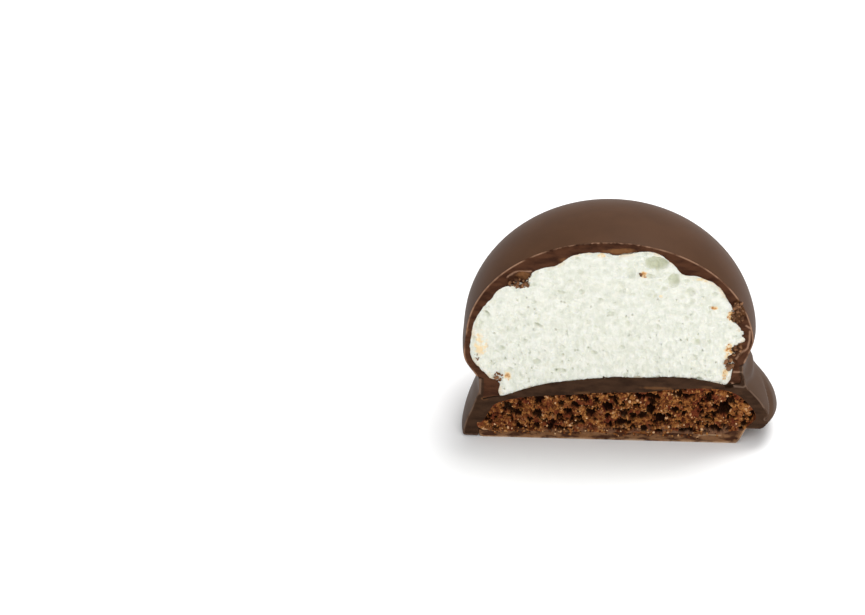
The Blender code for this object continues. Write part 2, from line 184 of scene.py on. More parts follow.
# %% Profiles of the dome and the marshmallow
DOME_WIDEST = 20.0 * MM
DOME_TOP = 41.1 * MM
DOME_ROUNDNESS = 2.04
DOME_STEPS = 60
DOME_TUCK = 1.85 * MM
DOME_TUCK_POWER = 1.3
WAIST_HEIGHT = 14.6 * MM
DOME_FOOT_RADIUS = 23.6 * MM
DOME_LIP = 0.5 * MM
SEAT_HEIGHT = 10.35 * MM
MARSH_RADIUS = 25.2 * MM
MARSH_TOP = 39.1 * MM
MARSH_FOOT_RADIUS = 20.55 * MM
MARSH_TUCK_POWER = 1.25
MARSH_SHIFT = -0.4 * MM
MARSH_SHIFT_FROM = 12 * MM
MARSH_SHIFT_FULL = 20 * MM


def dome_curve(radius, top):
    power = 2 / DOME_ROUNDNESS
    angle = np.linspace(math.pi / 2, 0, DOME_STEPS)
    return np.column_stack([radius * np.cos(angle).clip(0) ** power,
                            DOME_WIDEST + (top - DOME_WIDEST) * np.sin(angle) ** power])


def dome_outside():
    upper = dome_curve(DOME_RADIUS, DOME_TOP)
    t = np.linspace(0, 1, 20)[1:]
    tuck = np.column_stack([DOME_RADIUS - DOME_TUCK * t ** DOME_TUCK_POWER,
                            DOME_WIDEST + (WAIST_HEIGHT - DOME_WIDEST) * t])
    return np.vstack([upper, tuck])


def marsh_outside():
    upper = dome_curve(MARSH_RADIUS, MARSH_TOP)
    t = np.linspace(0, 1, 30)[1:]
    radius = MARSH_RADIUS - (MARSH_RADIUS - MARSH_FOOT_RADIUS) * t ** MARSH_TUCK_POWER
    side = np.column_stack([radius, DOME_WIDEST + (SEAT_HEIGHT - DOME_WIDEST) * t])
    return np.vstack([upper, side])


def dome_coating_profile():
    foot = [(DOME_FOOT_RADIUS, WAIST_HEIGHT - DOME_LIP), (DOME_FOOT_RADIUS, SEAT_HEIGHT)]
    return np.vstack([dome_outside(), foot, marsh_outside()[::-1]])


# %% Profiles of the base
ARCH_TOP = 13.05 * MM
ARCH_DROP = 2.7 * MM
ARCH_RADIUS = 20.0 * MM
ARCH_POWER = 3.1
COLLAR_TOP = 14.2 * MM
COLLAR_FOOT = 11.5 * MM
COLLAR_LIP = 0.2 * MM
BASE_WAIST_RADIUS = 24.45 * MM
BASE_RADIUS = 26.95 * MM
BASE_SLOPE = 1.45
BASE_ROUNDING = 0.8 * MM
BASE_UNDERSIDE = 0.3 * MM
BISCUIT_RADIUS = 24.5 * MM
BISCUIT_TOP = 9.85 * MM
BISCUIT_BOTTOM = 1.55 * MM
BISCUIT_MIDDLE = 3.0 * MM
BISCUIT_FLAT = 15.0 * MM
BISCUIT_FULLNESS = 0.8
BISCUIT_CHAMFER = 1.2 * MM
BISCUIT_SETBACK = 0.3 * MM
BISCUIT_HEEL = 0.7 * MM
BOTTOM_RADIUS = 24.1 * MM
BOTTOM_ROUNDING = 0.7 * MM
BOTTOM_CORNER = 0.3


def arch(radius):
    return ARCH_TOP - ARCH_DROP * (radius / ARCH_RADIUS) ** ARCH_POWER


def marshmallow_profile():
    radius = np.linspace(MARSH_FOOT_RADIUS, 0, 40)[1:]
    return np.vstack([marsh_outside(), np.column_stack([radius, arch(radius)])])


def base_radius(height):
    rise = ((height - BASE_ROUNDING) / (COLLAR_FOOT - BASE_ROUNDING)).clip(0, 1)
    return BASE_RADIUS - (BASE_RADIUS - BASE_WAIST_RADIUS) * rise ** BASE_SLOPE


def biscuit_edge():
    angle = np.linspace(math.pi / 2, 0, 24)
    out = np.cos(angle).clip(0) ** BISCUIT_FULLNESS
    up = np.sin(angle) ** BISCUIT_FULLNESS
    edge = np.column_stack([BISCUIT_FLAT + (BISCUIT_RADIUS - BISCUIT_FLAT) * out,
                            BISCUIT_MIDDLE + (BISCUIT_TOP - BISCUIT_MIDDLE) * up])
    heel = [(BISCUIT_RADIUS - BISCUIT_SETBACK, BISCUIT_BOTTOM + BISCUIT_HEEL)]
    return np.vstack([[(0, BISCUIT_TOP)], edge, heel])


def biscuit_profile():
    underside = [(BISCUIT_RADIUS - BISCUIT_CHAMFER, BISCUIT_BOTTOM), (0, BISCUIT_BOTTOM)]
    return np.vstack([biscuit_edge(), underside])


def base_inside():
    """The base coating's top, from the axis out to the brim of its collar."""
    radius = np.linspace(0, MARSH_FOOT_RADIUS, 30)
    collar = [(DOME_FOOT_RADIUS, arch(radius)[-1]), (DOME_FOOT_RADIUS, COLLAR_TOP - COLLAR_LIP)]
    return np.vstack([np.column_stack([radius, arch(radius)]), collar])


def base_outside():
    height = np.linspace(COLLAR_TOP, BASE_ROUNDING, 30)
    angle = np.linspace(0, math.pi / 2, 10)[1:]
    corner = np.column_stack([BASE_RADIUS - BASE_ROUNDING * (1 - np.cos(angle)),
                              BASE_ROUNDING - (BASE_ROUNDING - BASE_UNDERSIDE) * np.sin(angle)])
    return np.vstack([np.column_stack([base_radius(height), height]), corner])


def base_coating_profile():
    return np.vstack([base_inside(), base_outside(),
                      [(BISCUIT_RADIUS - BISCUIT_SETBACK, BASE_UNDERSIDE)], biscuit_edge()[::-1]])


def bottom_layer_profile():
    return np.array([(0, BISCUIT_BOTTOM), (BOTTOM_RADIUS, BISCUIT_BOTTOM), (BOTTOM_RADIUS, BOTTOM_ROUNDING),
                     (BOTTOM_RADIUS - BOTTOM_CORNER * BOTTOM_ROUNDING, BOTTOM_CORNER * BOTTOM_ROUNDING),
                     (BOTTOM_RADIUS - BOTTOM_ROUNDING, 0), (0, 0)])


print("profile points:", len(dome_coating_profile()), len(marshmallow_profile()), len(base_coating_profile()))

# %% [markdown]
# ## How the piece settled
#
# A turned sweet would be too even. The real one leans, its foot spreads to one side, and lumps of
# coating press into the marshmallow near the cut. Two rules move every point of every layer, so
# neighbours stay in touch: press works inside the dome, and settle on the whole piece.

# %% Sizes for the lean, the foot and the lumps
LEAN = 0.09
LEAN_FULL = 9.0 * MM
LEAN_FADES = 13.0 * MM
LEAN_GONE = 26.0 * MM
# The foot spreads to one side: how far, about which angle, and how fast it fades to front and back
SPREAD = 4.2 * MM
SPREAD_ANGLE = 6.0
SPREAD_FRONT = 34.0
SPREAD_BACK = 13.5
SPREAD_HEIGHT = 8.2 * MM
SPREAD_SOFTNESS = 1.2 * MM
SPREAD_LOW = 0.5
SPREAD_FULL = 3.0 * MM
BAND_SWELL = 1.0 * MM
BAND_HEIGHT = 11.0 * MM
BAND_SOFTNESS = 1.1 * MM
# The knife pinched the near side of the waist
PINCH = 1.0 * MM
PINCH_ANGLE = -16.0
PINCH_WIDTH = 9.0
PINCH_HEIGHT = 10.6 * MM
PINCH_REACH = 2.0 * MM
# The far front corner stands out a little
CORNER = 0.35 * MM
CORNER_ANGLE = 192.0
CORNER_WIDTH = 16.0
CORNER_FULL = 9.0 * MM
CORNER_TOP = 12.0 * MM
# Above the waist the dome bulges out over it on that side
JOWL = 0.8 * MM
JOWL_HEIGHT = 17.6 * MM
JOWL_REACH = 2.0 * MM
# Beneath it the biscuit's edge tapers off
TAPER = 2.4 * MM
TAPER_AROUND = 23.6 * MM
TAPER_REACH = 1.7 * MM
TAPER_WIDTH = 25.0
TAPER_HEIGHT = 7.0 * MM
TAPER_RISE = 2.6 * MM
# The seat of the marshmallow reaches further out on the side of the spread foot
NUDGE = 1.4 * MM
NUDGE_FROM = 8.0 * MM
NUDGE_FULL = 19.0 * MM
NUDGE_FADES = 20.5 * MM
NUDGE_GONE = 26.0 * MM
NUDGE_HEIGHT = 11.0 * MM
NUDGE_REACH = 3.0 * MM
# The near foot is raised off the table, and a crease that climbs backwards parts it from the rest
RAISE = 2.9 * MM
RAISE_ANGLE = -14.0
RAISE_WIDTH = 24.0
RAISE_HEIGHT = 6.0 * MM
RAISE_INNER = 22.5 * MM
RAISE_OUTER = 24.5 * MM
CREASE = 1.0 * MM
CREASE_ANGLE = -21.0
CREASE_CLIMB = 3.0 / MM
CREASE_WIDTH = 1.8
CREASE_INNER = 24.3 * MM
CREASE_OUTER = 26.0 * MM
CREASE_FULL = 5.5 * MM
CREASE_TOP = 8.5 * MM
# The layers are not quite even
RIPPLE = 0.35 * MM
RIPPLE_SIZE = 5.0 * MM
RIPPLE_FULL = 4 * MM
RIPPLE_FADES = 12 * MM
RIPPLE_GONE = 16 * MM
WAVE = 0.3 * MM
WAVE_SIZE = 2.2 * MM
WAVE_HEIGHT = 1.6 * MM
WAVE_REACH = 0.9 * MM
WAVE_FOOT = 0.6 * MM
# Near the right end the bottom layer thickens to a rounded knob
KNOB = 0.75 * MM
KNOB_X = 21.3 * MM
KNOB_WIDTH = 1.6 * MM
KNOB_REACH = 1.1 * MM
LUMP_DEPTH = 7.0 * MM
LUMP_SKIN = 1.2 * MM
LUMPS_FROM = 0.5 * MM
LUMPS_FULL = 2.5 * MM
# Angle about the marshmallow's middle in degrees, reach and half width in degrees
LUMPS = (
    (201.0, 1.2 * MM, 6.0),
    (159.0, 0.7 * MM, 8.0),
    (140.5, 2.5 * MM, 8.0),
    (122.0, 1.6 * MM, 9.0),
    (86.0, 0.6 * MM, 6.0),
    (67.0, -1.1 * MM, 8.5),
    (48.0, 1.2 * MM, 5.0),
    (32.0, -0.7 * MM, 7.0),
    (14.0, 1.3 * MM, 2.6),
    (-3.6, 1.9 * MM, 2.6),
    (-9.4, 1.7 * MM, 2.4),
    (-17.0, 0.2 * MM, 5.0),
)
# The shell's inner edge is ragged where crumbs broke off: angle, half width and height
RAGGED = (
    (1.0, 14.0, 0.55 * MM),
    (143.0, 9.0, 0.35 * MM),
    (199.0, 9.0, 0.45 * MM),
)
RAGGED_GRAIN = 0.9 * MM
SMOOTH_GRAIN = 0.12 * MM

print("lumps in the shell:", len(LUMPS))


# %% Helpers for smooth rules
def smoothstep(low, high, value):
    t = ((value - low) / (high - low)).clip(0, 1)
    return t * t * (3 - 2 * t)


def bell(value, middle, width):
    return np.exp(-((value - middle) / width) ** 2)


def turned_angle(across, along):
    """Angle in degrees from -90 round to 270, so that the whole cut piece has no jump."""
    angle = np.degrees(np.arctan2(along, across))
    return np.where(angle < -90, angle + 360, angle)


def noise_at(x, z, size, depth=3.7):
    """Smooth noise between -1 and 1, with features about size apart."""
    return np.array([noise.noise(Vector((a, b, depth))) for a, b in zip(x / size, z / size)])


# %% Rules that move the points
def skin_depth(points):
    """How far points lie under the outside of the evenly turned dome."""
    x, y, z = points.T
    around = np.hypot(x, y)
    tuck = ((DOME_WIDEST - z) / (DOME_WIDEST - WAIST_HEIGHT)).clip(0, 1)
    low = DOME_RADIUS - DOME_TUCK * tuck ** DOME_TUCK_POWER - around
    low = np.where(z < WAIST_HEIGHT, DOME_FOOT_RADIUS - around, low)
    rise = ((z - DOME_WIDEST) / (DOME_TOP - DOME_WIDEST)).clip(0)
    size = (rise ** DOME_ROUNDNESS + (around / DOME_RADIUS) ** DOME_ROUNDNESS) ** (1 / DOME_ROUNDNESS)
    high = (1 - size) * np.sqrt(x * x + y * y + (z - DOME_WIDEST) ** 2) / size.clip(0.001)
    return np.where(z < DOME_WIDEST, low, high)


def press(points):
    """Shift the filling sideways in the dome and press the coating's lumps into it."""
    points = points.copy()
    inside = smoothstep(0, LUMP_SKIN, skin_depth(points))
    points[:, 0] += MARSH_SHIFT * smoothstep(MARSH_SHIFT_FROM, MARSH_SHIFT_FULL, points[:, 2]) * inside
    x, y, z = points.T
    angle = turned_angle(x - MARSH_SHIFT, z - DOME_WIDEST)
    behind = (y * DEPTH_STRETCH - CUT_Y) / LUMP_DEPTH
    push = sum(reach * bell(angle, middle, width) for middle, reach, width in LUMPS)
    grain = SMOOTH_GRAIN + sum(height * bell(angle, middle, width) for middle, width, height in RAGGED)
    push = push + grain * (noise_at(x, z, RAGGED_GRAIN, 1.3) + 0.6 * noise_at(x, z, RAGGED_GRAIN / 2.3, 8.1))
    push = push * bell(behind, 0, 1) * inside
    push = push * smoothstep(SEAT_HEIGHT + LUMPS_FROM, SEAT_HEIGHT + LUMPS_FULL, z)
    inward = np.array([0, 0, DOME_WIDEST]) - points
    length = np.linalg.norm(inward, axis=1).clip(1e-9)
    return points + inward * (push / length * (length > push))[:, None]


def settle(points):
    """Lean, depth and spread foot, the same for every layer."""
    x, y, z = points.T
    deep = y * DEPTH_STRETCH
    angle = turned_angle(x, deep)
    around = np.hypot(x, y)
    foot = SPREAD / (1 + np.exp((z - SPREAD_HEIGHT) / SPREAD_SOFTNESS))
    foot *= SPREAD_LOW + (1 - SPREAD_LOW) * smoothstep(0, SPREAD_FULL, z)
    foot += BAND_SWELL * bell(z, BAND_HEIGHT, BAND_SOFTNESS)
    side = bell(angle, SPREAD_ANGLE, np.where(angle > SPREAD_ANGLE, SPREAD_BACK, SPREAD_FRONT))
    pinch = PINCH * bell(angle, PINCH_ANGLE, PINCH_WIDTH) * bell(z, PINCH_HEIGHT, PINCH_REACH)
    corner = CORNER * (1 - smoothstep(CORNER_FULL, CORNER_TOP, z)) + JOWL * bell(z, JOWL_HEIGHT, JOWL_REACH)
    corner *= bell(angle, CORNER_ANGLE, CORNER_WIDTH)
    crease = CREASE * bell(angle, CREASE_ANGLE + CREASE_CLIMB * z, CREASE_WIDTH)
    crease *= smoothstep(CREASE_INNER, CREASE_OUTER, around) * (1 - smoothstep(CREASE_FULL, CREASE_TOP, z))
    scale = 1 + (foot * side - pinch + corner - crease) / BASE_RADIUS
    lean = LEAN * x * (z / LEAN_FULL).clip(None, 1) * (1 - smoothstep(LEAN_FADES, LEAN_GONE, z))
    raised = RAISE * bell(angle, RAISE_ANGLE, RAISE_WIDTH)
    raised *= smoothstep(RAISE_INNER, RAISE_OUTER, around) * (1 - z / RAISE_HEIGHT).clip(0)
    ripple = RIPPLE * noise_at(x, deep, RIPPLE_SIZE, 5.5) * smoothstep(0, RIPPLE_FULL, z)
    ripple *= 1 - smoothstep(RIPPLE_FADES, RIPPLE_GONE, z)
    wave = WAVE * noise_at(x, deep, WAVE_SIZE, 12.3) * bell(z, WAVE_HEIGHT, WAVE_REACH)
    knob = KNOB * bell(x, KNOB_X, KNOB_WIDTH) * bell(deep, CUT_Y, LUMP_DEPTH)
    knob *= bell(z, WAVE_HEIGHT, KNOB_REACH)
    taper = TAPER * bell(around, TAPER_AROUND, TAPER_REACH) * bell(angle, CORNER_ANGLE, TAPER_WIDTH)
    taper *= bell(z, TAPER_HEIGHT, TAPER_RISE)
    shift = DOME_SHIFT * smoothstep(LEAN_FADES, DOME_WIDEST, z)
    nudge = NUDGE * smoothstep(NUDGE_FROM, NUDGE_FULL, x) * (1 - smoothstep(NUDGE_FADES, NUDGE_GONE, x))
    nudge *= bell(z, NUDGE_HEIGHT, NUDGE_REACH)
    lifted = lean + raised + ripple + (wave + knob) * smoothstep(0, WAVE_FOOT, z) - taper
    return np.column_stack([x * scale + shift + nudge, deep * scale, z + lifted])


# %% [markdown]
# ## Turning a layer up to the cut
#
# A Boolean cut through a fine mesh leaves ragged slivers. Here each ring of a layer is drawn only as
# far round as the knife lets it go: the two angles where the ring meets the cut are searched for, and
# the ring's points are spread between them. The cut's outline then has clean points of its own, and
# its inside is filled by a Delaunay triangulation over an even net of points.

# %% Rings that stop at the cut
FINE_STEP = 0.02 * MM
HIDDEN_SHARE = 0.25
HALVINGS = 24
# How closely the first and last columns follow the cut
FIRST_STEP = 0.006


def resample(profile, spacing):
    """The profile's points spaced evenly as the cut shows them, each with its place in the profile."""
    near = abs(CUT_Y) / DEPTH_STRETCH
    fine, source = [], []
    for number, (start, end) in enumerate(zip(profile[:-1], profile[1:])):
        steps = max(2, int(np.linalg.norm(end - start) / FINE_STEP))
        t = np.linspace(0, 1, steps, endpoint=False)
        fine.append(start + (end - start) * t[:, None])
        source.append(number + t)
    fine = np.vstack(fine + [profile[-1:]])
    source = np.concatenate(source + [[len(profile) - 1]])
    seen = np.sqrt((fine[:, 0] ** 2 - near ** 2).clip(0))
    hidden = HIDDEN_SHARE * fine[:, 0].clip(None, near)
    step = np.hypot(np.diff(seen), np.diff(fine[:, 1]) * (seen[1:] > 0)) + np.abs(np.diff(hidden))
    length = np.concatenate([[0], np.cumsum(step)])
    marks = np.linspace(0, length[-1], max(8, round(length[-1] / spacing)))
    ring = np.column_stack([np.interp(marks, length, fine[:, 0]), np.interp(marks, length, fine[:, 1])])
    return ring, np.interp(marks, length, source)


def ring_points(ring, angle, rule):
    """Points of the rings (radius, height) at the angles, moved by the rule and settled."""
    radius, height = ring[:, 0], ring[:, 1]
    return settle(rule(np.column_stack([radius * np.cos(angle), radius * np.sin(angle), height])))


def stop_angles(ring, side, rule):
    """Where each ring meets the cut on one side, searched by halving."""
    low = np.full(len(ring), -math.pi / 2)
    high = np.zeros(len(ring)) if side > 0 else np.full(len(ring), -math.pi)
    for _ in range(HALVINGS):
        middle = (low + high) / 2
        cut_off = ring_points(ring, middle, rule)[:, 1] < CUT_Y
        low = np.where(cut_off, middle, low)
        high = np.where(cut_off, high, middle)
    return (low + high) / 2


def turn_layer(ring, columns, rule):
    """The layer's outside as a grid of points, rings by columns, from the right of the cut to the left."""
    right = stop_angles(ring, 1, rule)
    left = stop_angles(ring, -1, rule) + 2 * math.pi
    t = np.linspace(-1, 1, columns)
    spread = 0.5 + 0.5 * np.sin(t * math.pi / 2) * (1 - FIRST_STEP) + 0.5 * FIRST_STEP * t
    grid = np.stack([ring_points(ring, right + (left - right) * s, rule) for s in spread], axis=1)
    reaches = ring_points(ring, np.full(len(ring), -math.pi / 2), rule)[:, 1] <= CUT_Y
    return grid, reaches


# %% [markdown]
# ## Filling the cut
#
# The outline of the cut is one closed loop. Points of an even triangular net that fall inside it
# become the cut's face. Each is then moved along y by the layer's own relief, a rule for what the
# knife left there. Numbers stay on every point for the materials: whether it lies on the cut, how far
# it is from the layer's outer rim, how deep the relief goes, and where stains and pale lines run.

# %% Fill the outline and join the layer
FAR = 9.0
WELD = 0.002 * MM
SHARP_ANGLE = math.radians(50)


def inside_outline(points, loop):
    """Even-odd test of many points against one closed outline."""
    inside = np.zeros(len(points), bool)
    for (ax, az), (bx, bz) in zip(loop, np.roll(loop, -1, axis=0)):
        if az == bz:
            continue
        crosses = (points[:, 1] < az) != (points[:, 1] < bz)
        inside ^= crosses & (points[:, 0] < ax + (points[:, 1] - az) * (bx - ax) / (bz - az))
    return inside


def distance_to(points, starts, ends):
    """Distance of many points to the nearest of some line pieces."""
    nearest = np.full(len(points), np.inf)
    for start, end in zip(starts, ends):
        along = end - start
        t = ((points - start) @ along / max(along @ along, 1e-18)).clip(0, 1)
        nearest = np.minimum(nearest, np.linalg.norm(points - start - t[:, None] * along, axis=1))
    return nearest


def net_points(loop, cell):
    """An even triangular net inside the outline, clear of its edge."""
    low, high = loop.min(axis=0), loop.max(axis=0)
    net = []
    for number, height in enumerate(np.arange(low[1], high[1], cell * math.sqrt(3) / 2)):
        across = np.arange(low[0] + (number % 2) * cell / 2, high[0], cell)
        net.append(np.column_stack([across, np.full(len(across), height)]))
    net = np.vstack(net)
    net = net[inside_outline(net, loop)]
    return net[distance_to(net, loop, np.roll(loop, -1, axis=0)) > 0.5 * cell]


def cut_face(loop, cell):
    """Points and triangles of the cut inside the outline; the outline's own points come first."""
    net = net_points(loop, cell)
    flat = [Vector(p) / MM for p in np.vstack([loop, net]).tolist()]
    border = [list(range(len(loop)))]
    _, _, faces, origins, _, _ = geometry.delaunay_2d_cdt(flat, [], border, 1, 1e-6)
    first = [origin[0] if origin else -1 for origin in origins]
    triangles = [[first[i] for i in face] for face in faces]
    return net, [triangle for triangle in triangles if min(triangle) >= 0]


def new_piece(name, mesh):
    piece = bpy.data.objects.new(name, mesh)
    bpy.context.scene.collection.objects.link(piece)
    return piece


def mark(mesh, label, values):
    mesh.attributes.new(label, "FLOAT", "POINT").data.foreach_set("value", values)


def close_up(mesh):
    """Weld the poles, turn the faces outwards and shade the mesh."""
    work = bmesh.new()
    work.from_mesh(mesh)
    bmesh.ops.remove_doubles(work, verts=work.verts, dist=WELD)
    bmesh.ops.dissolve_degenerate(work, edges=work.edges, dist=WELD)
    bmesh.ops.recalc_face_normals(work, faces=work.faces)
    loose = sum(1 for edge in work.edges if len(edge.link_faces) != 2)
    work.to_mesh(mesh)
    work.free()
    mesh.shade_smooth()
    mesh.set_sharp_from_angle(angle=SHARP_ANGLE)
    mesh.calc_loop_triangles()
    print(mesh.name, "triangles", len(mesh.loop_triangles), "open edges", loose)


def ovals(x, z, spots):
    """Soft-edged ragged ovals, each given by centre x and z, half width, half height and strength."""
    strength = np.zeros(len(x))
    ragged = 0.35 * noise_at(x, z, 0.7 * MM, 14.2)
    for middle_x, middle_z, half_wide, half_high, strong in spots:
        away = np.hypot((x / MM - middle_x) / half_wide, (z / MM - middle_z) / half_high) + ragged
        strength = np.maximum(strength, strong * smoothstep(1.1, 0.5, away))
    return strength


def thin_lines(x, z, lines, width):
    """One on the lines and zero a width away from them. Their corners are in mm."""
    starts = [corner for line in lines for corner in line[:-1]]
    ends = [corner for line in lines for corner in line[1:]]
    away = distance_to(np.column_stack([x, z]) / MM, np.array(starts), np.array(ends))
    return smoothstep(width, 0, away)


def unmoved(points):
    return points


def build_layer(name, profile, outside, spacing, columns, cell, relief, paint, rule=unmoved):
    """A closed mesh of one layer. outside is the range of profile points that face outwards."""
    ring, source = resample(profile, spacing)
    grid, reaches = turn_layer(ring, columns, rule)
    points = grid.reshape(-1, 3)
    corner = np.arange(len(grid) - 1)[:, None] * columns + np.arange(columns - 1)
    around = [corner, corner + 1, corner + columns + 1, corner + columns]
    faces = np.stack(around, axis=-1).reshape(-1, 4).tolist()
    rows = np.nonzero(reaches)[0]
    order = np.concatenate([rows * columns, rows[::-1] * columns + columns - 1])
    loop = points[order][:, (0, 2)]
    keep = np.linalg.norm(loop - np.roll(loop, 1, axis=0), axis=1) > WELD
    order, loop = order[keep], loop[keep]
    net, triangles = cut_face(loop, cell)
    flat = np.vstack([loop, net])
    index = np.concatenate([order, len(points) + np.arange(len(net))])
    faces += [index[triangle].tolist() for triangle in triangles]
    place = source[order // columns]
    outer = (place >= outside[0]) & (place <= outside[1])
    pairs = outer & np.roll(outer, -1)
    rim = distance_to(flat, loop[pairs], np.roll(loop, -1, axis=0)[pairs]) / MM
    depth = relief(flat[:, 0], flat[:, 1], rim)
    points = np.vstack([points, np.column_stack([net[:, 0], np.full(len(net), CUT_Y), net[:, 1]])])
    near = (points[:, 1] - CUT_Y) / MM
    points[index, 1] = CUT_Y + depth
    points += np.array([AXIS_X, AXIS_Y, 0])
    mesh = bpy.data.meshes.new(name)
    mesh.from_pydata(points.tolist(), [], faces)
    measured = {"cut": np.ones(len(index)), "rim": rim.clip(None, FAR), "relief": depth / MM}
    for label, values in {**measured, **paint(flat[:, 0], flat[:, 1])}.items():
        everywhere = near.clip(0, FAR) if label == "rim" else np.zeros(len(points))
        everywhere[index] = values
        mark(mesh, label, everywhere)
    close_up(mesh)
    return new_piece(name, mesh)


# %% [markdown]
# ## The marshmallow
#
# Whipped marshmallow is foam. The knife opens its bubbles: a few large ones at the top, many small
# ones everywhere, and torn streaks between them. Above the middle the streaks lie flat, and below it
# they stand upright, as the foam flowed into the dome. All of it is shallow relief in the cut face.

# %% Make the marshmallow
def in_metres(rows):
    return [[value * MM for value in row] for row in rows]


# Bubbles: centre x and z, half width, half height and depth, in mm
BUBBLES = in_metres((
    (7.7, 36.6, 2.3, 1.3, 1.5),
    (10.9, 33.2, 1.1, 1.4, 1.0),
    (1.4, 31.1, 1.0, 1.5, 0.6),
    (3.2, 34.6, 0.9, 1.1, 0.7),
    (14.0, 31.0, 1.0, 0.8, 0.5),
    (-13.5, 16.0, 0.9, 0.5, 0.6),
    (-9.2, 14.1, 1.2, 0.5, 0.6),
    (-3.1, 18.1, 0.6, 0.4, 0.6),
    (15.5, 21.0, 1.0, 0.8, 0.5),
    (-20.0, 24.5, 0.8, 1.0, 0.4),
))
# Slits: centre x and z, half length, half height, tilt in degrees and depth
SLITS = (
    (-13.2 * MM, 23.4 * MM, 1.0 * MM, 0.4 * MM, -30.0, 0.8 * MM),
    (-22.5 * MM, 25.6 * MM, 0.9 * MM, 0.35 * MM, -40.0, 0.6 * MM),
)
SMALL_BUBBLES = 700
TINY_PORES = 160
STREAKS = 0.27 * MM
# Cream and caramel stains: centre x and z, half width and half height in mm, and strength
FOAM_STAINS = (
    (-23.6, 19.4, 1.5, 2.8, 0.45),
    (-18.7, 12.8, 0.8, 1.0, 0.7),
    (21.3, 19.2, 0.9, 1.8, 1.0),
    (20.8, 14.2, 0.6, 1.4, 0.6),
    (21.6, 26.2, 0.9, 1.3, 1.0),
    (18.3, 28.0, 0.8, 0.4, 0.8),
    (8.7, 29.9, 0.5, 0.4, 0.35),
    (5.4, 34.2, 0.7, 0.8, 0.8),
    (-2.2, 38.0, 0.9, 0.5, 0.8),
    (16.0, 33.6, 2.2, 0.5, 0.4),
)
MARSH_CELL = 0.17 * MM


def hollows(x, z, pits):
    """The deepest of many round-bottomed pits at each point."""
    depth = np.zeros(len(x))
    for middle_x, middle_z, half_wide, half_high, deep in pits:
        near = np.nonzero((np.abs(x - middle_x) < half_wide) & (np.abs(z - middle_z) < half_high))[0]
        away = ((x[near] - middle_x) / half_wide) ** 2 + ((z[near] - middle_z) / half_high) ** 2
        depth[near] = np.maximum(depth[near], deep * np.sqrt((1 - away).clip(0)))
    return depth


def slit(x, z, cut):
    middle_x, middle_z, half_long, half_high, tilt, deep = cut
    turn = math.radians(tilt)
    along = (x - middle_x) * math.cos(turn) + (z - middle_z) * math.sin(turn)
    across = (z - middle_z) * math.cos(turn) - (x - middle_x) * math.sin(turn)
    return deep * (1 - (along / half_long) ** 2 - (across / half_high) ** 2).clip(0)


def marshmallow_relief(x, z, rim):
    draw = random.Random(11)
    small = []
    for _ in range(SMALL_BUBBLES):
        radius = (0.18 + 0.55 * draw.random() ** 4) * MM
        small.append((draw.uniform(-26, 25) * MM, draw.uniform(8, 40) * MM,
                      radius, radius * draw.uniform(0.6, 1.0), radius * 0.7))
    for _ in range(TINY_PORES):
        radius = draw.uniform(0.1, 0.17) * MM
        low = (10 + 20 * draw.random() ** 2) * MM
        small.append((draw.uniform(-24, 24) * MM, low, radius, radius, 0.7 * MM))
    upright = smoothstep(30 * MM, 20 * MM, z + 2 * MM * noise_at(x, z, 8 * MM))
    flat_streaks = noise_at(x / 2.2, z, 0.75 * MM)
    tall_streaks = noise_at(x, z / 1.7, 0.6 * MM, 9.2)
    relief = STREAKS * (upright * tall_streaks + (1 - upright) * flat_streaks)
    relief += 0.3 * MM * noise_at(x, z, 5 * MM) + 0.22 * MM * np.abs(noise_at(x, z, 1.2 * MM, 6.1))
    relief += 0.13 * MM * noise_at(x, z, 0.4 * MM) + 0.1 * MM * noise_at(x, z, 0.25 * MM, 4.8)
    relief += hollows(x, z, BUBBLES) + hollows(x, z, small) + sum(slit(x, z, cut) for cut in SLITS)
    return relief * smoothstep(0, 0.5, rim) + 0.1 * MM


def foam_paint(x, z):
    return {"stain": ovals(x, z, FOAM_STAINS)}


MARSH_OUTSIDE = len(marsh_outside()) - 1
marshmallow = build_layer("whipped_filling", marshmallow_profile(), (0, MARSH_OUTSIDE),
                          0.3 * MM, 60, MARSH_CELL, marshmallow_relief, foam_paint, press)

# %% [markdown]
# ## The coatings
#
# Set chocolate snaps under a knife. Its cut is smooth where the blade slid and rough where the shell
# broke first. The rim is chipped along the top, and thin pale lines show where flakes lifted.

# %% Make the two coatings and the bottom layer
# Where the coating broke away in crumbs: centre x and z, half width, half height and depth, in mm
BREAKS = in_metres((
    (-17.0, 32.6, 3.2, 2.0, 0.6),
    (22.6, 27.3, 1.6, 2.6, 0.5),
    (22.6, 19.3, 1.5, 1.6, 0.5),
    (21.8, 16.4, 1.3, 1.4, 0.5),
    (23.4, 13.3, 1.3, 1.4, 0.4),
    (21.5, 12.0, 0.8, 0.45, 1.5),
    (-19.8, 12.6, 1.4, 1.3, 0.5),
    (1.3, 38.8, 3.4, 0.8, 0.35),
))
# Lighter brown patches: centre x and z, half width and half height in mm, and strength
CHOCOLATE_STAINS = (
    (1.3, 38.8, 3.4, 0.8, 1.0),
    (-16.0, 33.4, 1.5, 1.1, 0.9),
    (-8.5, 36.9, 1.6, 0.5, 0.5),
    (22.9, 27.4, 1.2, 2.6, 0.7),
    (22.8, 20.0, 1.2, 1.6, 0.8),
    (21.6, 16.5, 1.0, 1.2, 0.5),
    (-24.6, 16.8, 0.5, 0.9, 0.6),
    (-26.0, 22.2, 0.4, 0.5, 0.5),
    (-22.9, 8.0, 0.8, 0.35, 0.6),
    (8.5, 11.1, 3.2, 0.35, 0.5),
    (-5.0, 9.7, 1.6, 0.3, 0.35),
    (17.5, 11.6, 1.4, 0.25, 0.3),
    (-18.2, 1.2, 1.6, 0.4, 0.6),
    (-10.6, 0.9, 1.4, 0.35, 0.5),
    (-5.0, 0.8, 3.0, 0.4, 0.5),
)
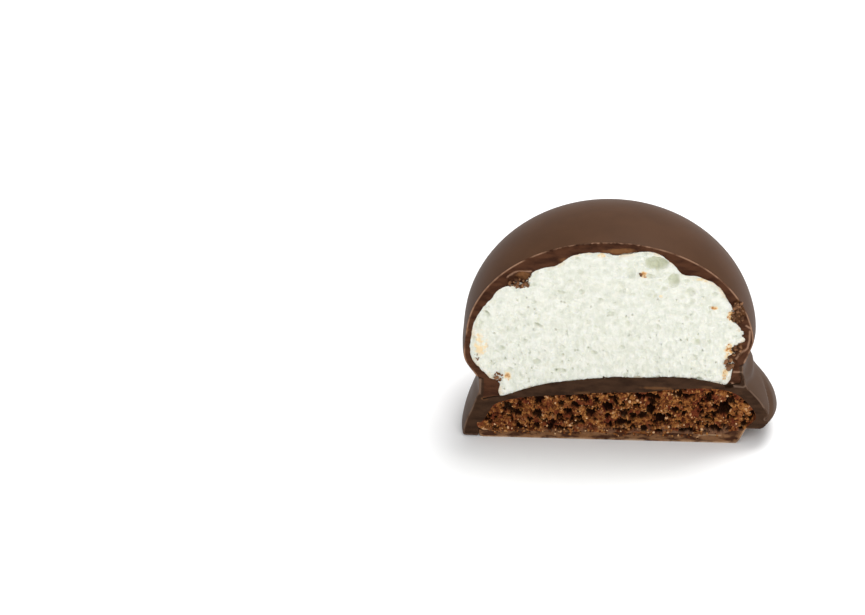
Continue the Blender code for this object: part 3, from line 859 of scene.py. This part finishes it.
# Thin pale lines where flakes lifted, by their corners
LIFTED = (
    ((24.2, 24.5), (25.1, 23.9), (25.9, 24.5)),
    ((24.9, 23.4), (24.9, 21.6), (24.6, 19.9), (23.3, 18.5), (22.6, 17.6)),
    ((24.8, 17.9), (24.8, 14.8)),
    ((22.3, 14.9), (24.2, 14.9), (24.9, 14.2), (24.9, 12.4), (24.2, 11.8), (22.6, 11.9), (22.1, 12.6)),
    ((-23.6, 12.0), (-23.7, 9.0)),
    ((-18.9, 33.0), (-17.2, 34.3), (-14.7, 34.5)),
    ((16.4, 1.4), (18.4, 1.6), (20.4, 1.5)),
)
LIFTED_WIDTH = 0.26
CHIPPED_FROM = -11.0 * MM
CHIPPED_TO = 6.5 * MM


def coating_relief(x, z, rim):
    relief = 0.05 * MM * noise_at(x, z, 2.0 * MM) + 0.02 * MM * noise_at(x, z, 0.4 * MM)
    rough = noise_at(x, z, 0.7 * MM, 2.2) + 0.6 * noise_at(x, z, 0.3 * MM, 4.4)
    broken = hollows(x, z, BREAKS)
    chipped = smoothstep(CHIPPED_FROM - 2 * MM, CHIPPED_FROM, x)
    chipped *= smoothstep(CHIPPED_TO + 2 * MM, CHIPPED_TO, x) * smoothstep(20 * MM, 25 * MM, z)
    chips = chipped * (0.35 + rough).clip(0) * smoothstep(0.9, 0.0, rim)
    edge = 0.05 * MM * smoothstep(0.25, 0.0, rim) * (1 + 0.5 * rough)
    return relief + broken * (1 + 0.5 * rough).clip(0) + 0.5 * MM * chips + edge


def coating_paint(x, z):
    return {"stain": ovals(x, z, CHOCOLATE_STAINS), "line": thin_lines(x, z, LIFTED, LIFTED_WIDTH)}


def slab_relief(x, z, rim):
    """The soft bottom layer smeared under the knife, so its cut is uneven."""
    smear = noise_at(x / 2.5, z, 0.8 * MM, 2.9) + 0.5 * noise_at(x, z, 0.4 * MM, 6.6)
    return (0.25 * MM * smear + 0.1 * MM) * smoothstep(0, 0.3, rim)


DOME_OUTSIDE = len(dome_outside()) - 1
BASE_OUTSIDE = (len(base_inside()), len(base_inside()) + len(base_outside()))
dome_coating = build_layer("dome_shell", dome_coating_profile(), (0, DOME_OUTSIDE),
                           0.35 * MM, 150, 0.2 * MM, coating_relief, coating_paint, press)
base_coating = build_layer("base_shell", base_coating_profile(), BASE_OUTSIDE,
                           0.35 * MM, 150, 0.2 * MM, coating_relief, coating_paint)
bottom_layer = build_layer("bottom_slab", bottom_layer_profile(), (2, 5),
                           0.25 * MM, 60, 0.15 * MM, slab_relief, coating_paint)

# %% [markdown]
# ## The biscuit
#
# A cocoa biscuit is mostly air and crumb. Three scales build its cut: long dark caverns, pores strewn
# between them, and grains that bulge towards the viewer. A Voronoi pattern gives the grains, because
# its cells meet in sharp valleys as crumbs do. The pores are bent by noise, so none is a clean oval.

# %% Make the biscuit
# Caverns: centre x and z, half width, half height and depth, in mm
CAVERNS = in_metres((
    (7.3, 9.3, 2.0, 0.5, 1.6),
    (7.3, 6.6, 0.9, 1.0, 2.4),
    (9.2, 4.8, 0.9, 0.7, 2.0),
    (-0.4, 6.9, 1.0, 0.8, 1.8),
    (3.2, 3.8, 1.0, 0.5, 1.6),
    (-7.5, 5.6, 0.8, 0.7, 1.6),
    (20.9, 7.4, 1.2, 1.1, 2.4),
    (17.9, 9.0, 0.6, 0.7, 1.6),
    (13.6, 6.0, 0.6, 0.5, 1.5),
    (-16.5, 5.2, 0.7, 0.7, 1.4),
))
PORES = 800
BISCUIT_CELL = 0.13 * MM


def grains(x, z, size):
    """Rounded Voronoi cells: one in the middle of a grain, zero in the valleys."""
    away = np.array([noise.voronoi(Vector((a, b, 0.5)))[0][0] for a, b in zip(x / size, z / size)])
    return (1 - 1.6 * away).clip(0)


def biscuit_relief(x, z, rim):
    draw = random.Random(7)
    pores = []
    for _ in range(PORES):
        radius = (0.12 + 0.6 * draw.random() ** 3) * MM
        pores.append((draw.uniform(-24, 28) * MM, draw.uniform(1.5, 11.5) * MM,
                      radius * draw.uniform(0.8, 1.6), radius * draw.uniform(0.6, 1.2), radius * 2.0))
    bent_x = x + 0.5 * MM * noise_at(x, z, 0.7 * MM, 1.1) + 0.3 * MM * noise_at(x, z, 0.3 * MM, 2.1)
    bent_z = z + 0.5 * MM * noise_at(x, z, 0.7 * MM, 7.7) + 0.3 * MM * noise_at(x, z, 0.3 * MM, 5.1)
    relief = np.maximum(hollows(bent_x, bent_z, CAVERNS), hollows(bent_x, bent_z, pores))
    relief -= 0.45 * MM * grains(x, z, 1.0 * MM) + 0.3 * MM * grains(x, z, 0.45 * MM)
    return (relief + 0.35 * MM) * smoothstep(0, 0.3, rim)


def biscuit_paint(x, z):
    """Chocolate smeared up from the bottom layer."""
    smear = 0.5 + noise_at(x / 2, z, 0.9 * MM, 3.3)
    low = smoothstep(3.2 * MM, 1.6 * MM, z - 0.05 * x) * smoothstep(0.35, 0.75, smear)
    return {"smear": low}


biscuit = build_layer("biscuit_crumb", biscuit_profile(), (0, len(biscuit_profile()) - 1),
                      0.25 * MM, 60, BISCUIT_CELL, biscuit_relief, biscuit_paint)

# %% [markdown]
# ## Crumbs
#
# Where the shell broke, crumbs of chocolate cling to the cut, and the biscuit's face is strewn with
# its own grains. Geometry Nodes scatters both from loose points that carry a size: one bumpy ball is
# placed on each, turned and squeezed at random. The result is made plain mesh.

# %% Build the crumb scatterer
def add(tree, kind, **settings):
    made = tree.nodes.new(kind)
    for key, value in settings.items():
        setattr(made, key, value)
    return made


def plug(tree, socket, source):
    """Link a socket to a source, or set it where the source is a plain value."""
    if isinstance(source, bpy.types.NodeSocket):
        tree.links.new(source, socket)
    else:
        socket.default_value = source


def random_value(tree, kind, low, high, seed):
    values = add(tree, "FunctionNodeRandomValue", data_type=kind)
    first = 0 if kind == "FLOAT_VECTOR" else 2
    values.inputs[first].default_value = low
    values.inputs[first + 1].default_value = high
    plug(tree, values.inputs["Seed"], seed)
    return values.outputs[0 if kind == "FLOAT_VECTOR" else 1]


def crumb_scatterer():
    tree = bpy.data.node_groups.new("crumb_scatterer", "GeometryNodeTree")
    tree.interface.new_socket("Geometry", in_out="INPUT", socket_type="NodeSocketGeometry")
    tree.interface.new_socket("Bumpiness", in_out="INPUT", socket_type="NodeSocketFloat")
    tree.interface.new_socket("Bump Scale", in_out="INPUT", socket_type="NodeSocketFloat")
    tree.interface.new_socket("Seed", in_out="INPUT", socket_type="NodeSocketInt")
    tree.interface.new_socket("Material", in_out="INPUT", socket_type="NodeSocketMaterial")
    tree.interface.new_socket("Geometry", in_out="OUTPUT", socket_type="NodeSocketGeometry")
    inputs = add(tree, "NodeGroupInput")
    ball = add(tree, "GeometryNodeMeshIcoSphere")
    ball.inputs["Radius"].default_value = 1
    ball.inputs["Subdivisions"].default_value = 2
    size = add(tree, "GeometryNodeInputNamedAttribute", data_type="FLOAT")
    size.inputs["Name"].default_value = "size"
    seed = inputs.outputs["Seed"]
    squeeze = random_value(tree, "FLOAT_VECTOR", (0.55, 0.55, 0.45), (1.25, 1.25, 1.0), seed)
    scale = add(tree, "ShaderNodeVectorMath", operation="SCALE")
    plug(tree, scale.inputs[0], squeeze)
    plug(tree, scale.inputs["Scale"], size.outputs[0])
    place = add(tree, "GeometryNodeInstanceOnPoints")
    plug(tree, place.inputs["Points"], inputs.outputs["Geometry"])
    plug(tree, place.inputs["Instance"], ball.outputs["Mesh"])
    turn = random_value(tree, "FLOAT_VECTOR", (0, 0, 0), (math.tau, math.tau, math.tau), seed)
    plug(tree, place.inputs["Rotation"], turn)
    plug(tree, place.inputs["Scale"], scale.outputs[0])
    tone = add(tree, "GeometryNodeStoreNamedAttribute", data_type="FLOAT", domain="INSTANCE")
    tone.inputs["Name"].default_value = "tone"
    plug(tree, tone.inputs["Geometry"], place.outputs[0])
    plug(tree, tone.inputs["Value"], random_value(tree, "FLOAT", 0.0, 1.0, seed))
    real = add(tree, "GeometryNodeRealizeInstances")
    plug(tree, real.inputs[0], tone.outputs[0])
    bumps = add(tree, "ShaderNodeTexNoise")
    plug(tree, bumps.inputs["Scale"], inputs.outputs["Bump Scale"])
    centred = add(tree, "ShaderNodeVectorMath", operation="SUBTRACT")
    plug(tree, centred.inputs[0], bumps.outputs["Color"])
    centred.inputs[1].default_value = (0.5, 0.5, 0.5)
    offset = add(tree, "ShaderNodeVectorMath", operation="SCALE")
    plug(tree, offset.inputs[0], centred.outputs[0])
    plug(tree, offset.inputs["Scale"], inputs.outputs["Bumpiness"])
    moved = add(tree, "GeometryNodeSetPosition")
    plug(tree, moved.inputs["Geometry"], real.outputs[0])
    plug(tree, moved.inputs["Offset"], offset.outputs[0])
    painted = add(tree, "GeometryNodeSetMaterial")
    plug(tree, painted.inputs["Geometry"], moved.outputs[0])
    plug(tree, painted.inputs["Material"], inputs.outputs["Material"])
    plug(tree, add(tree, "NodeGroupOutput").inputs[0], painted.outputs[0])
    return tree


def scatter(name, places, tree, seed, bumpiness, bump_size, material):
    """Crumbs on places (x, y, z, size), as one plain mesh."""
    places = np.array(places)
    mesh = bpy.data.meshes.new(name + "_points")
    mesh.from_pydata((places[:, :3] + np.array([AXIS_X, AXIS_Y, 0])).tolist(), [], [])
    mark(mesh, "size", places[:, 3])
    source = new_piece(name + "_points", mesh)
    modifier = source.modifiers.new("scatter", "NODES")
    modifier.node_group = tree
    values = {"Bumpiness": bumpiness, "Bump Scale": 1 / bump_size, "Seed": seed, "Material": material}
    for item in tree.interface.items_tree:
        if item.in_out == "INPUT" and item.name in values:
            modifier[item.identifier] = values[item.name]
    source.update_tag()
    graph = bpy.context.evaluated_depsgraph_get()
    made = bpy.data.meshes.new_from_object(source.evaluated_get(graph))
    made.name = name
    made.shade_smooth()
    bpy.data.objects.remove(source, do_unlink=True)
    made.calc_loop_triangles()
    print(name, len(places), "crumbs,", len(made.loop_triangles), "triangles")
    return new_piece(name, made)


# %% [markdown]
# ## Materials
#
# Chocolate, foam and biscuit differ in how light enters them. All colours come from noise in object
# space and from the numbers kept on the points, so nothing depends on a picture. Two effects are
# shared, so each is a node group: speckle blends two colours in grains of a given size, and rim
# highlight paints a thin pale highlight along the rim where a coating snapped.

# %% Shared node groups
def mix_colours(tree, factor, first, second):
    mix = add(tree, "ShaderNodeMix", data_type="RGBA")
    for number, source in ((0, factor), (6, first), (7, second)):
        plug(tree, mix.inputs[number], source)
    return mix.outputs[2]


def ramp(tree, value, low, high):
    """Zero at low, one at high and smooth between."""
    made = add(tree, "ShaderNodeMapRange", interpolation_type="SMOOTHSTEP")
    plug(tree, made.inputs["Value"], value)
    made.inputs["From Min"].default_value = low
    made.inputs["From Max"].default_value = high
    return made.outputs["Result"]


def multiply(tree, first, second):
    made = add(tree, "ShaderNodeMath", operation="MULTIPLY")
    plug(tree, made.inputs[0], first)
    plug(tree, made.inputs[1], second)
    return made.outputs[0]


def attribute(tree, name):
    return add(tree, "ShaderNodeAttribute", attribute_name=name).outputs["Fac"]


def object_noise(tree, size, detail=3.0, stretch=(1, 1, 1)):
    """Noise in object space with features of the given size in metres."""
    place = add(tree, "ShaderNodeTexCoord")
    scaled = add(tree, "ShaderNodeMapping")
    scaled.inputs["Scale"].default_value = [1 / (size * part) for part in stretch]
    plug(tree, scaled.inputs["Vector"], place.outputs["Object"])
    made = add(tree, "ShaderNodeTexNoise")
    made.inputs["Scale"].default_value = 1
    made.inputs["Detail"].default_value = detail
    plug(tree, made.inputs["Vector"], scaled.outputs[0])
    return made.outputs["Fac"]


def speckle_group():
    tree = bpy.data.node_groups.new("speckle", "ShaderNodeTree")
    for label, kind in (("Light", "Color"), ("Dark", "Color"), ("Grains per Metre", "Float")):
        tree.interface.new_socket(label, in_out="INPUT", socket_type="NodeSocket" + kind)
    tree.interface.new_socket("Color", in_out="OUTPUT", socket_type="NodeSocketColor")
    inputs = add(tree, "NodeGroupInput")
    place = add(tree, "ShaderNodeTexCoord")
    grain = add(tree, "ShaderNodeTexNoise")
    plug(tree, grain.inputs["Vector"], place.outputs["Object"])
    plug(tree, grain.inputs["Scale"], inputs.outputs["Grains per Metre"])
    grain.inputs["Detail"].default_value = 4
    amount = ramp(tree, grain.outputs["Fac"], 0.32, 0.68)
    colour = mix_colours(tree, amount, inputs.outputs["Dark"], inputs.outputs["Light"])
    plug(tree, add(tree, "NodeGroupOutput").inputs[0], colour)
    return tree


def rim_highlight_group():
    tree = bpy.data.node_groups.new("rim_highlight", "ShaderNodeTree")
    for label, kind in (("Color", "Color"), ("Line", "Color"), ("Width", "Float")):
        tree.interface.new_socket(label, in_out="INPUT", socket_type="NodeSocket" + kind)
    tree.interface.new_socket("Color", in_out="OUTPUT", socket_type="NodeSocketColor")
    inputs = add(tree, "NodeGroupInput")
    share = add(tree, "ShaderNodeMath", operation="DIVIDE")
    plug(tree, share.inputs[0], attribute(tree, "rim"))
    plug(tree, share.inputs[1], inputs.outputs["Width"])
    uneven = ramp(tree, object_noise(tree, 2.5 * MM), 0.3, 0.6)
    # Painted highlight: the line runs along the snapped outer rim of the cut, broken up by noise
    line = multiply(tree, multiply(tree, ramp(tree, share.outputs[0], 1.2, 0.3), uneven), 0.75)
    colour = mix_colours(tree, line, inputs.outputs["Color"], inputs.outputs["Line"])
    plug(tree, add(tree, "NodeGroupOutput").inputs[0], colour)
    return tree


SPECKLE = speckle_group()
RIM_HIGHLIGHT = rim_highlight_group()
CRUMB_SCATTERER = crumb_scatterer()


def grouped(tree, group, *sources):
    made = add(tree, "ShaderNodeGroup", node_tree=group)
    for socket, source in zip(made.inputs, sources):
        plug(tree, socket, source)
    return made.outputs[0]


def colour(red, green, blue):
    """A colour named by its screen values from 0 to 255."""
    parts = [value / 255 for value in (red, green, blue)]
    linear = [part / 12.92 if part <= 0.04045 else ((part + 0.055) / 1.055) ** 2.4 for part in parts]
    return (*linear, 1)


def new_material(name, roughness, specular):
    material = bpy.data.materials.new(name)
    material.use_nodes = True
    shader = material.node_tree.nodes["Principled BSDF"]
    shader.inputs["Roughness"].default_value = roughness
    shader.inputs["Specular IOR Level"].default_value = specular
    return material, material.node_tree, shader


def bump(tree, shader, height, distance):
    made = add(tree, "ShaderNodeBump")
    made.inputs["Distance"].default_value = distance
    made.inputs["Strength"].default_value = 1.0
    plug(tree, made.inputs["Height"], height)
    plug(tree, shader.inputs["Normal"], made.outputs["Normal"])


# %% [markdown]
# ## Chocolate
#
# Set chocolate lets almost no light in, so a plain surface with little gloss does. The outside keeps
# one brown, and the cut another with darker marks where the knife dragged. Which one shows is read
# from the cut number on the points, so the border is as sharp as the mesh. Deep relief in the cut is
# darkened by its depth, a painted shade, and the pale line along the snapped rim is a painted highlight.

# %% Chocolate
WARM_BROWN = colour(124, 84, 52)
CHOCOLATE_ROUGHNESS = 0.5
CHOCOLATE_SPECULAR = 0.05


def chocolate(name, outside, cut, drag_and_shade, line, marked=(0.35, 0.7)):
    """Set chocolate: satin outside, duller cut with darker drag marks, painted shade in deep relief, painted
    rim highlight.
    """
    material, tree, shader = new_material(name, CHOCOLATE_ROUGHNESS, CHOCOLATE_SPECULAR)
    bloom = tuple(0.88 * part for part in outside[:3]) + (1,)
    skin = grouped(tree, SPECKLE, outside, bloom, 160.0)
    drag = ramp(tree, object_noise(tree, 1.1 * MM, 4.0, (3, 1, 1)), *marked)
    inner = mix_colours(tree, drag, cut, drag_and_shade)
    # Painted highlight along the snapped rim, in the pale line colour
    rim_highlighted = grouped(tree, RIM_HIGHLIGHT, inner, line, 0.3)
    stained = mix_colours(tree, attribute(tree, "stain"), rim_highlighted, WARM_BROWN)
    lined = mix_colours(tree, multiply(tree, attribute(tree, "line"), 0.8), stained, line)
    shown = mix_colours(tree, attribute(tree, "cut"), skin, lined)
    # Painted shade: the deeper the cut's relief, the more it takes the dark colour of the drag marks
    broken = ramp(tree, attribute(tree, "relief"), 0.3, 1.2)
    plug(tree, shader.inputs["Base Color"], mix_colours(tree, multiply(tree, broken, 0.7), shown, drag_and_shade))
    fine = object_noise(tree, 0.5 * MM, 3.0)
    bump(tree, shader, multiply(tree, fine, attribute(tree, "cut")), 0.08 * MM)
    return material


# Colours: outside, cut, dark colour for drag marks and painted shade, pale colour for lifted lines and the
# painted rim highlight
dome_chocolate = chocolate("dome_chocolate", colour(76, 51, 34), colour(80, 49, 32),
                           colour(54, 29, 17), colour(172, 134, 108))
base_chocolate = chocolate("base_chocolate", colour(80, 60, 47), colour(66, 45, 31),
                           colour(48, 31, 20), colour(124, 100, 84))
bottom_chocolate = chocolate("bottom_chocolate", colour(104, 72, 50), colour(132, 94, 64),
                             colour(70, 42, 28), colour(186, 152, 120), marked=(0.42, 0.58))


# %% [markdown]
# ## Marshmallow
#
# Foam scatters light beneath its surface, which a little subsurface light gives. Its hollows get a
# painted shade: they are tinted pale green-grey by their depth rather than painted dark, because
# light still reaches them from all round.

# %% Marshmallow
def marshmallow_foam():
    """White foam: light goes in and comes out softened, and deep bubbles get a faint green painted shade."""
    material, tree, shader = new_material("marshmallow", 0.8, 0.15)
    white = grouped(tree, SPECKLE, colour(238, 238, 228), colour(223, 225, 212), 900.0)
    # Painted shade: the deeper the relief, the more the foam turns pale green-grey
    deep = multiply(tree, ramp(tree, attribute(tree, "relief"), 0.35, 1.3), 0.8)
    foam = mix_colours(tree, deep, white, colour(203, 206, 180))
    near_rim = ramp(tree, attribute(tree, "rim"), 0.9, 0.1)
    patch = ramp(tree, object_noise(tree, 1.6 * MM), 0.45, 0.65)
    cream = multiply(tree, multiply(tree, near_rim, patch), 0.55)
    fringed = mix_colours(tree, cream, foam, colour(232, 206, 168))
    soaked = multiply(tree, attribute(tree, "stain"), ramp(tree, object_noise(tree, 1.0 * MM), 0.3, 0.65))
    creamy = mix_colours(tree, ramp(tree, soaked, 0.0, 0.4), fringed, colour(240, 218, 178))
    stained = mix_colours(tree, ramp(tree, soaked, 0.4, 0.9), creamy, colour(214, 152, 84))
    plug(tree, shader.inputs["Base Color"], stained)
    shader.inputs["Subsurface Weight"].default_value = 0.35
    shader.inputs["Subsurface Radius"].default_value = (1.0, 0.9, 0.7)
    shader.inputs["Subsurface Scale"].default_value = 1.0 * MM
    bump(tree, shader, object_noise(tree, 0.35 * MM, 3.0), 0.18 * MM)
    return material


marshmallow_material = marshmallow_foam()


# %% [markdown]
# ## Biscuit and loose grains
#
# Cocoa crumb has no single brown. Each grain takes its own tone from one ramp, by its Voronoi cell in
# the cut and by its own number where it lies loose, so both look like the same dough. In the cut the
# pores and caverns are darkened by their depth, a painted shade.

# %% Biscuit
def crumb_colours(tree, tone):
    """Cocoa crumb from nearly black through red-brown to ochre, chosen by a value from 0 to 1."""
    made = add(tree, "ShaderNodeValToRGB")
    plug(tree, made.inputs["Fac"], tone)
    steps = ((0.0, colour(44, 17, 6)), (0.32, colour(100, 52, 24)), (0.6, colour(150, 94, 46)),
             (0.84, colour(180, 124, 70)), (0.97, colour(218, 176, 134)))
    elements = made.color_ramp.elements
    while len(elements) < len(steps):
        elements.new(0.5)
    for element, (place, shade) in zip(elements, steps):
        element.position = place
        element.color = shade
    return made.outputs["Color"]


def cocoa_biscuit():
    material, tree, shader = new_material("cocoa_biscuit", 0.9, 0.1)
    cells = add(tree, "ShaderNodeTexVoronoi")
    cells.inputs["Scale"].default_value = 1 / (0.4 * MM)
    plug(tree, cells.inputs["Vector"], add(tree, "ShaderNodeTexCoord").outputs["Object"])
    each = add(tree, "ShaderNodeSeparateColor")
    plug(tree, each.inputs[0], cells.outputs["Color"])
    patches = ramp(tree, object_noise(tree, 3.0 * MM), 0.3, 0.7)
    tone = add(tree, "ShaderNodeMix")
    tone.inputs[0].default_value = 0.4
    plug(tree, tone.inputs[2], each.outputs["Red"])
    plug(tree, tone.inputs[3], patches)
    # Painted shade: pores and caverns turn nearly black with their depth
    deep = multiply(tree, ramp(tree, attribute(tree, "relief"), 0.15, 0.95), 0.94)
    reddish = multiply(tree, ramp(tree, object_noise(tree, 1.7 * MM), 0.45, 0.6), 0.65)
    crumb = mix_colours(tree, reddish, crumb_colours(tree, tone.outputs[0]), colour(104, 40, 26))
    smeared = mix_colours(tree, attribute(tree, "smear"), crumb, colour(118, 84, 62))
    plug(tree, shader.inputs["Base Color"], mix_colours(tree, deep, smeared, colour(30, 9, 2)))
    bump(tree, shader, object_noise(tree, 0.2 * MM, 3.0), 0.1 * MM)
    return material


def crumb_material(name, low, high, roughness, specular):
    """Loose grains, each with its own tone between two colours."""
    material, tree, shader = new_material(name, roughness, specular)
    plug(tree, shader.inputs["Base Color"], mix_colours(tree, attribute(tree, "tone"), low, high))
    return material


def biscuit_grain_material():
    material, tree, shader = new_material("biscuit_grains", 0.9, 0.12)
    plug(tree, shader.inputs["Base Color"], crumb_colours(tree, attribute(tree, "tone")))
    return material


biscuit_material = cocoa_biscuit()
grain_material = biscuit_grain_material()
chocolate_crumb = crumb_material("chocolate_crumbs", colour(70, 42, 26), colour(150, 108, 76), 0.6, 0.1)
caramel_crumb = crumb_material("caramel_crumbs", colour(178, 116, 54), colour(232, 196, 148), 0.6, 0.1)

for piece, node, slot, material in (
    (dome_coating, "dome_coating", "dome_chocolate", dome_chocolate),
    (marshmallow, "marshmallow", "marshmallow", marshmallow_material),
    (base_coating, "base_coating", "base_chocolate", base_chocolate),
    (biscuit, "biscuit", "cocoa_biscuit", biscuit_material),
    (bottom_layer, "bottom_layer", "bottom_chocolate", bottom_chocolate),
):
    piece.data.materials.append(material)
    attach(piece, "root")
    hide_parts(node)
print("materials:", len(bpy.data.materials))

# %% [markdown]
# ## Strewing the crumbs
#
# Each cluster is an oval on the cut with a count and a range of sizes. Biscuit grains are strewn over
# the whole face of the biscuit, so the mesh is asked where it stands out, and the grains
# sit there.

# %% Strew the crumbs
# Clusters: centre x and z, half width, half height, count, smallest and largest grain
CHOCOLATE_CLUSTERS = (
    (-16.9, 31.9, 1.9, 0.9, 34, 0.12, 0.42),
    (22.6, 27.2, 1.2, 2.3, 60, 0.10, 0.45),
    (22.7, 19.4, 1.0, 1.2, 26, 0.12, 0.40),
    (21.5, 16.5, 0.9, 1.1, 34, 0.15, 0.50),
    (-20.4, 12.7, 0.9, 0.9, 34, 0.10, 0.36),
    (-24.3, 16.9, 0.5, 0.9, 8, 0.10, 0.25),
    (5.0, 34.3, 0.3, 0.45, 9, 0.18, 0.32),
)
CARAMEL_CLUSTERS = (
    (5.6, 34.0, 0.3, 0.4, 7, 0.12, 0.22),
    (18.3, 28.0, 0.5, 0.2, 5, 0.10, 0.22),
    (21.4, 26.4, 0.7, 0.9, 14, 0.10, 0.25),
    (21.3, 19.6, 0.5, 1.0, 12, 0.12, 0.28),
    (-18.7, 12.5, 0.4, 0.7, 8, 0.10, 0.22),
    (20.6, 14.0, 0.3, 0.9, 8, 0.10, 0.22),
)
GRAIN_COUNT = 900
FALLEN_COUNT = 130


def cluster_places(clusters, seed, proud=0.1):
    draw = random.Random(seed)
    places = []
    for middle_x, middle_z, half_wide, half_high, count, small, large in clusters:
        for _ in range(count):
            turn = draw.uniform(0, math.tau)
            away = math.sqrt(draw.random())
            size = small + (large - small) * draw.random() ** 2
            places.append(((middle_x + half_wide * away * math.cos(turn)) * MM,
                           CUT_Y - (proud - 0.4 * size) * MM,
                           (middle_z + half_high * away * math.sin(turn)) * MM, size * MM))
    return places


def biscuit_places():
    """Places on the raised points of the biscuit's own cut, and some on the layer beneath it."""
    mesh = biscuit.data
    count = len(mesh.vertices)
    where = np.zeros(count * 3)
    mesh.vertices.foreach_get("co", where)
    cut, rim, depth = np.zeros(count), np.zeros(count), np.zeros(count)
    for label, values in (("cut", cut), ("rim", rim), ("relief", depth)):
        mesh.attributes[label].data.foreach_get("value", values)
    high = np.nonzero((cut > 0.5) & (rim > 0.3) & (depth < 0.5))[0]
    draw = random.Random(23)
    chosen = draw.sample(high.tolist(), GRAIN_COUNT)
    where = where.reshape(-1, 3)[chosen] - np.array([AXIS_X, AXIS_Y, 0])
    sizes = [(0.1 + 0.22 * draw.random() ** 3) * MM for _ in chosen]
    fallen = [(draw.uniform(-22, 21) * MM, CUT_Y - 0.05 * MM, draw.uniform(0.9, 2.1) * MM,
               draw.uniform(0.1, 0.26) * MM) for _ in range(FALLEN_COUNT)]
    return np.vstack([np.column_stack([where, sizes]), fallen])


crumb_pieces = (
    scatter("chocolate_crumbs", cluster_places(CHOCOLATE_CLUSTERS, 3), CRUMB_SCATTERER, 5,
            0.35 * MM, 0.3 * MM, chocolate_crumb),
    scatter("caramel_crumbs", cluster_places(CARAMEL_CLUSTERS, 4, 0.0), CRUMB_SCATTERER, 6,
            0.3 * MM, 0.25 * MM, caramel_crumb),
    scatter("biscuit_grains", biscuit_places(), CRUMB_SCATTERER, 7, 0.25 * MM, 0.2 * MM, grain_material),
)
for piece in crumb_pieces:
    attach(piece, "root")
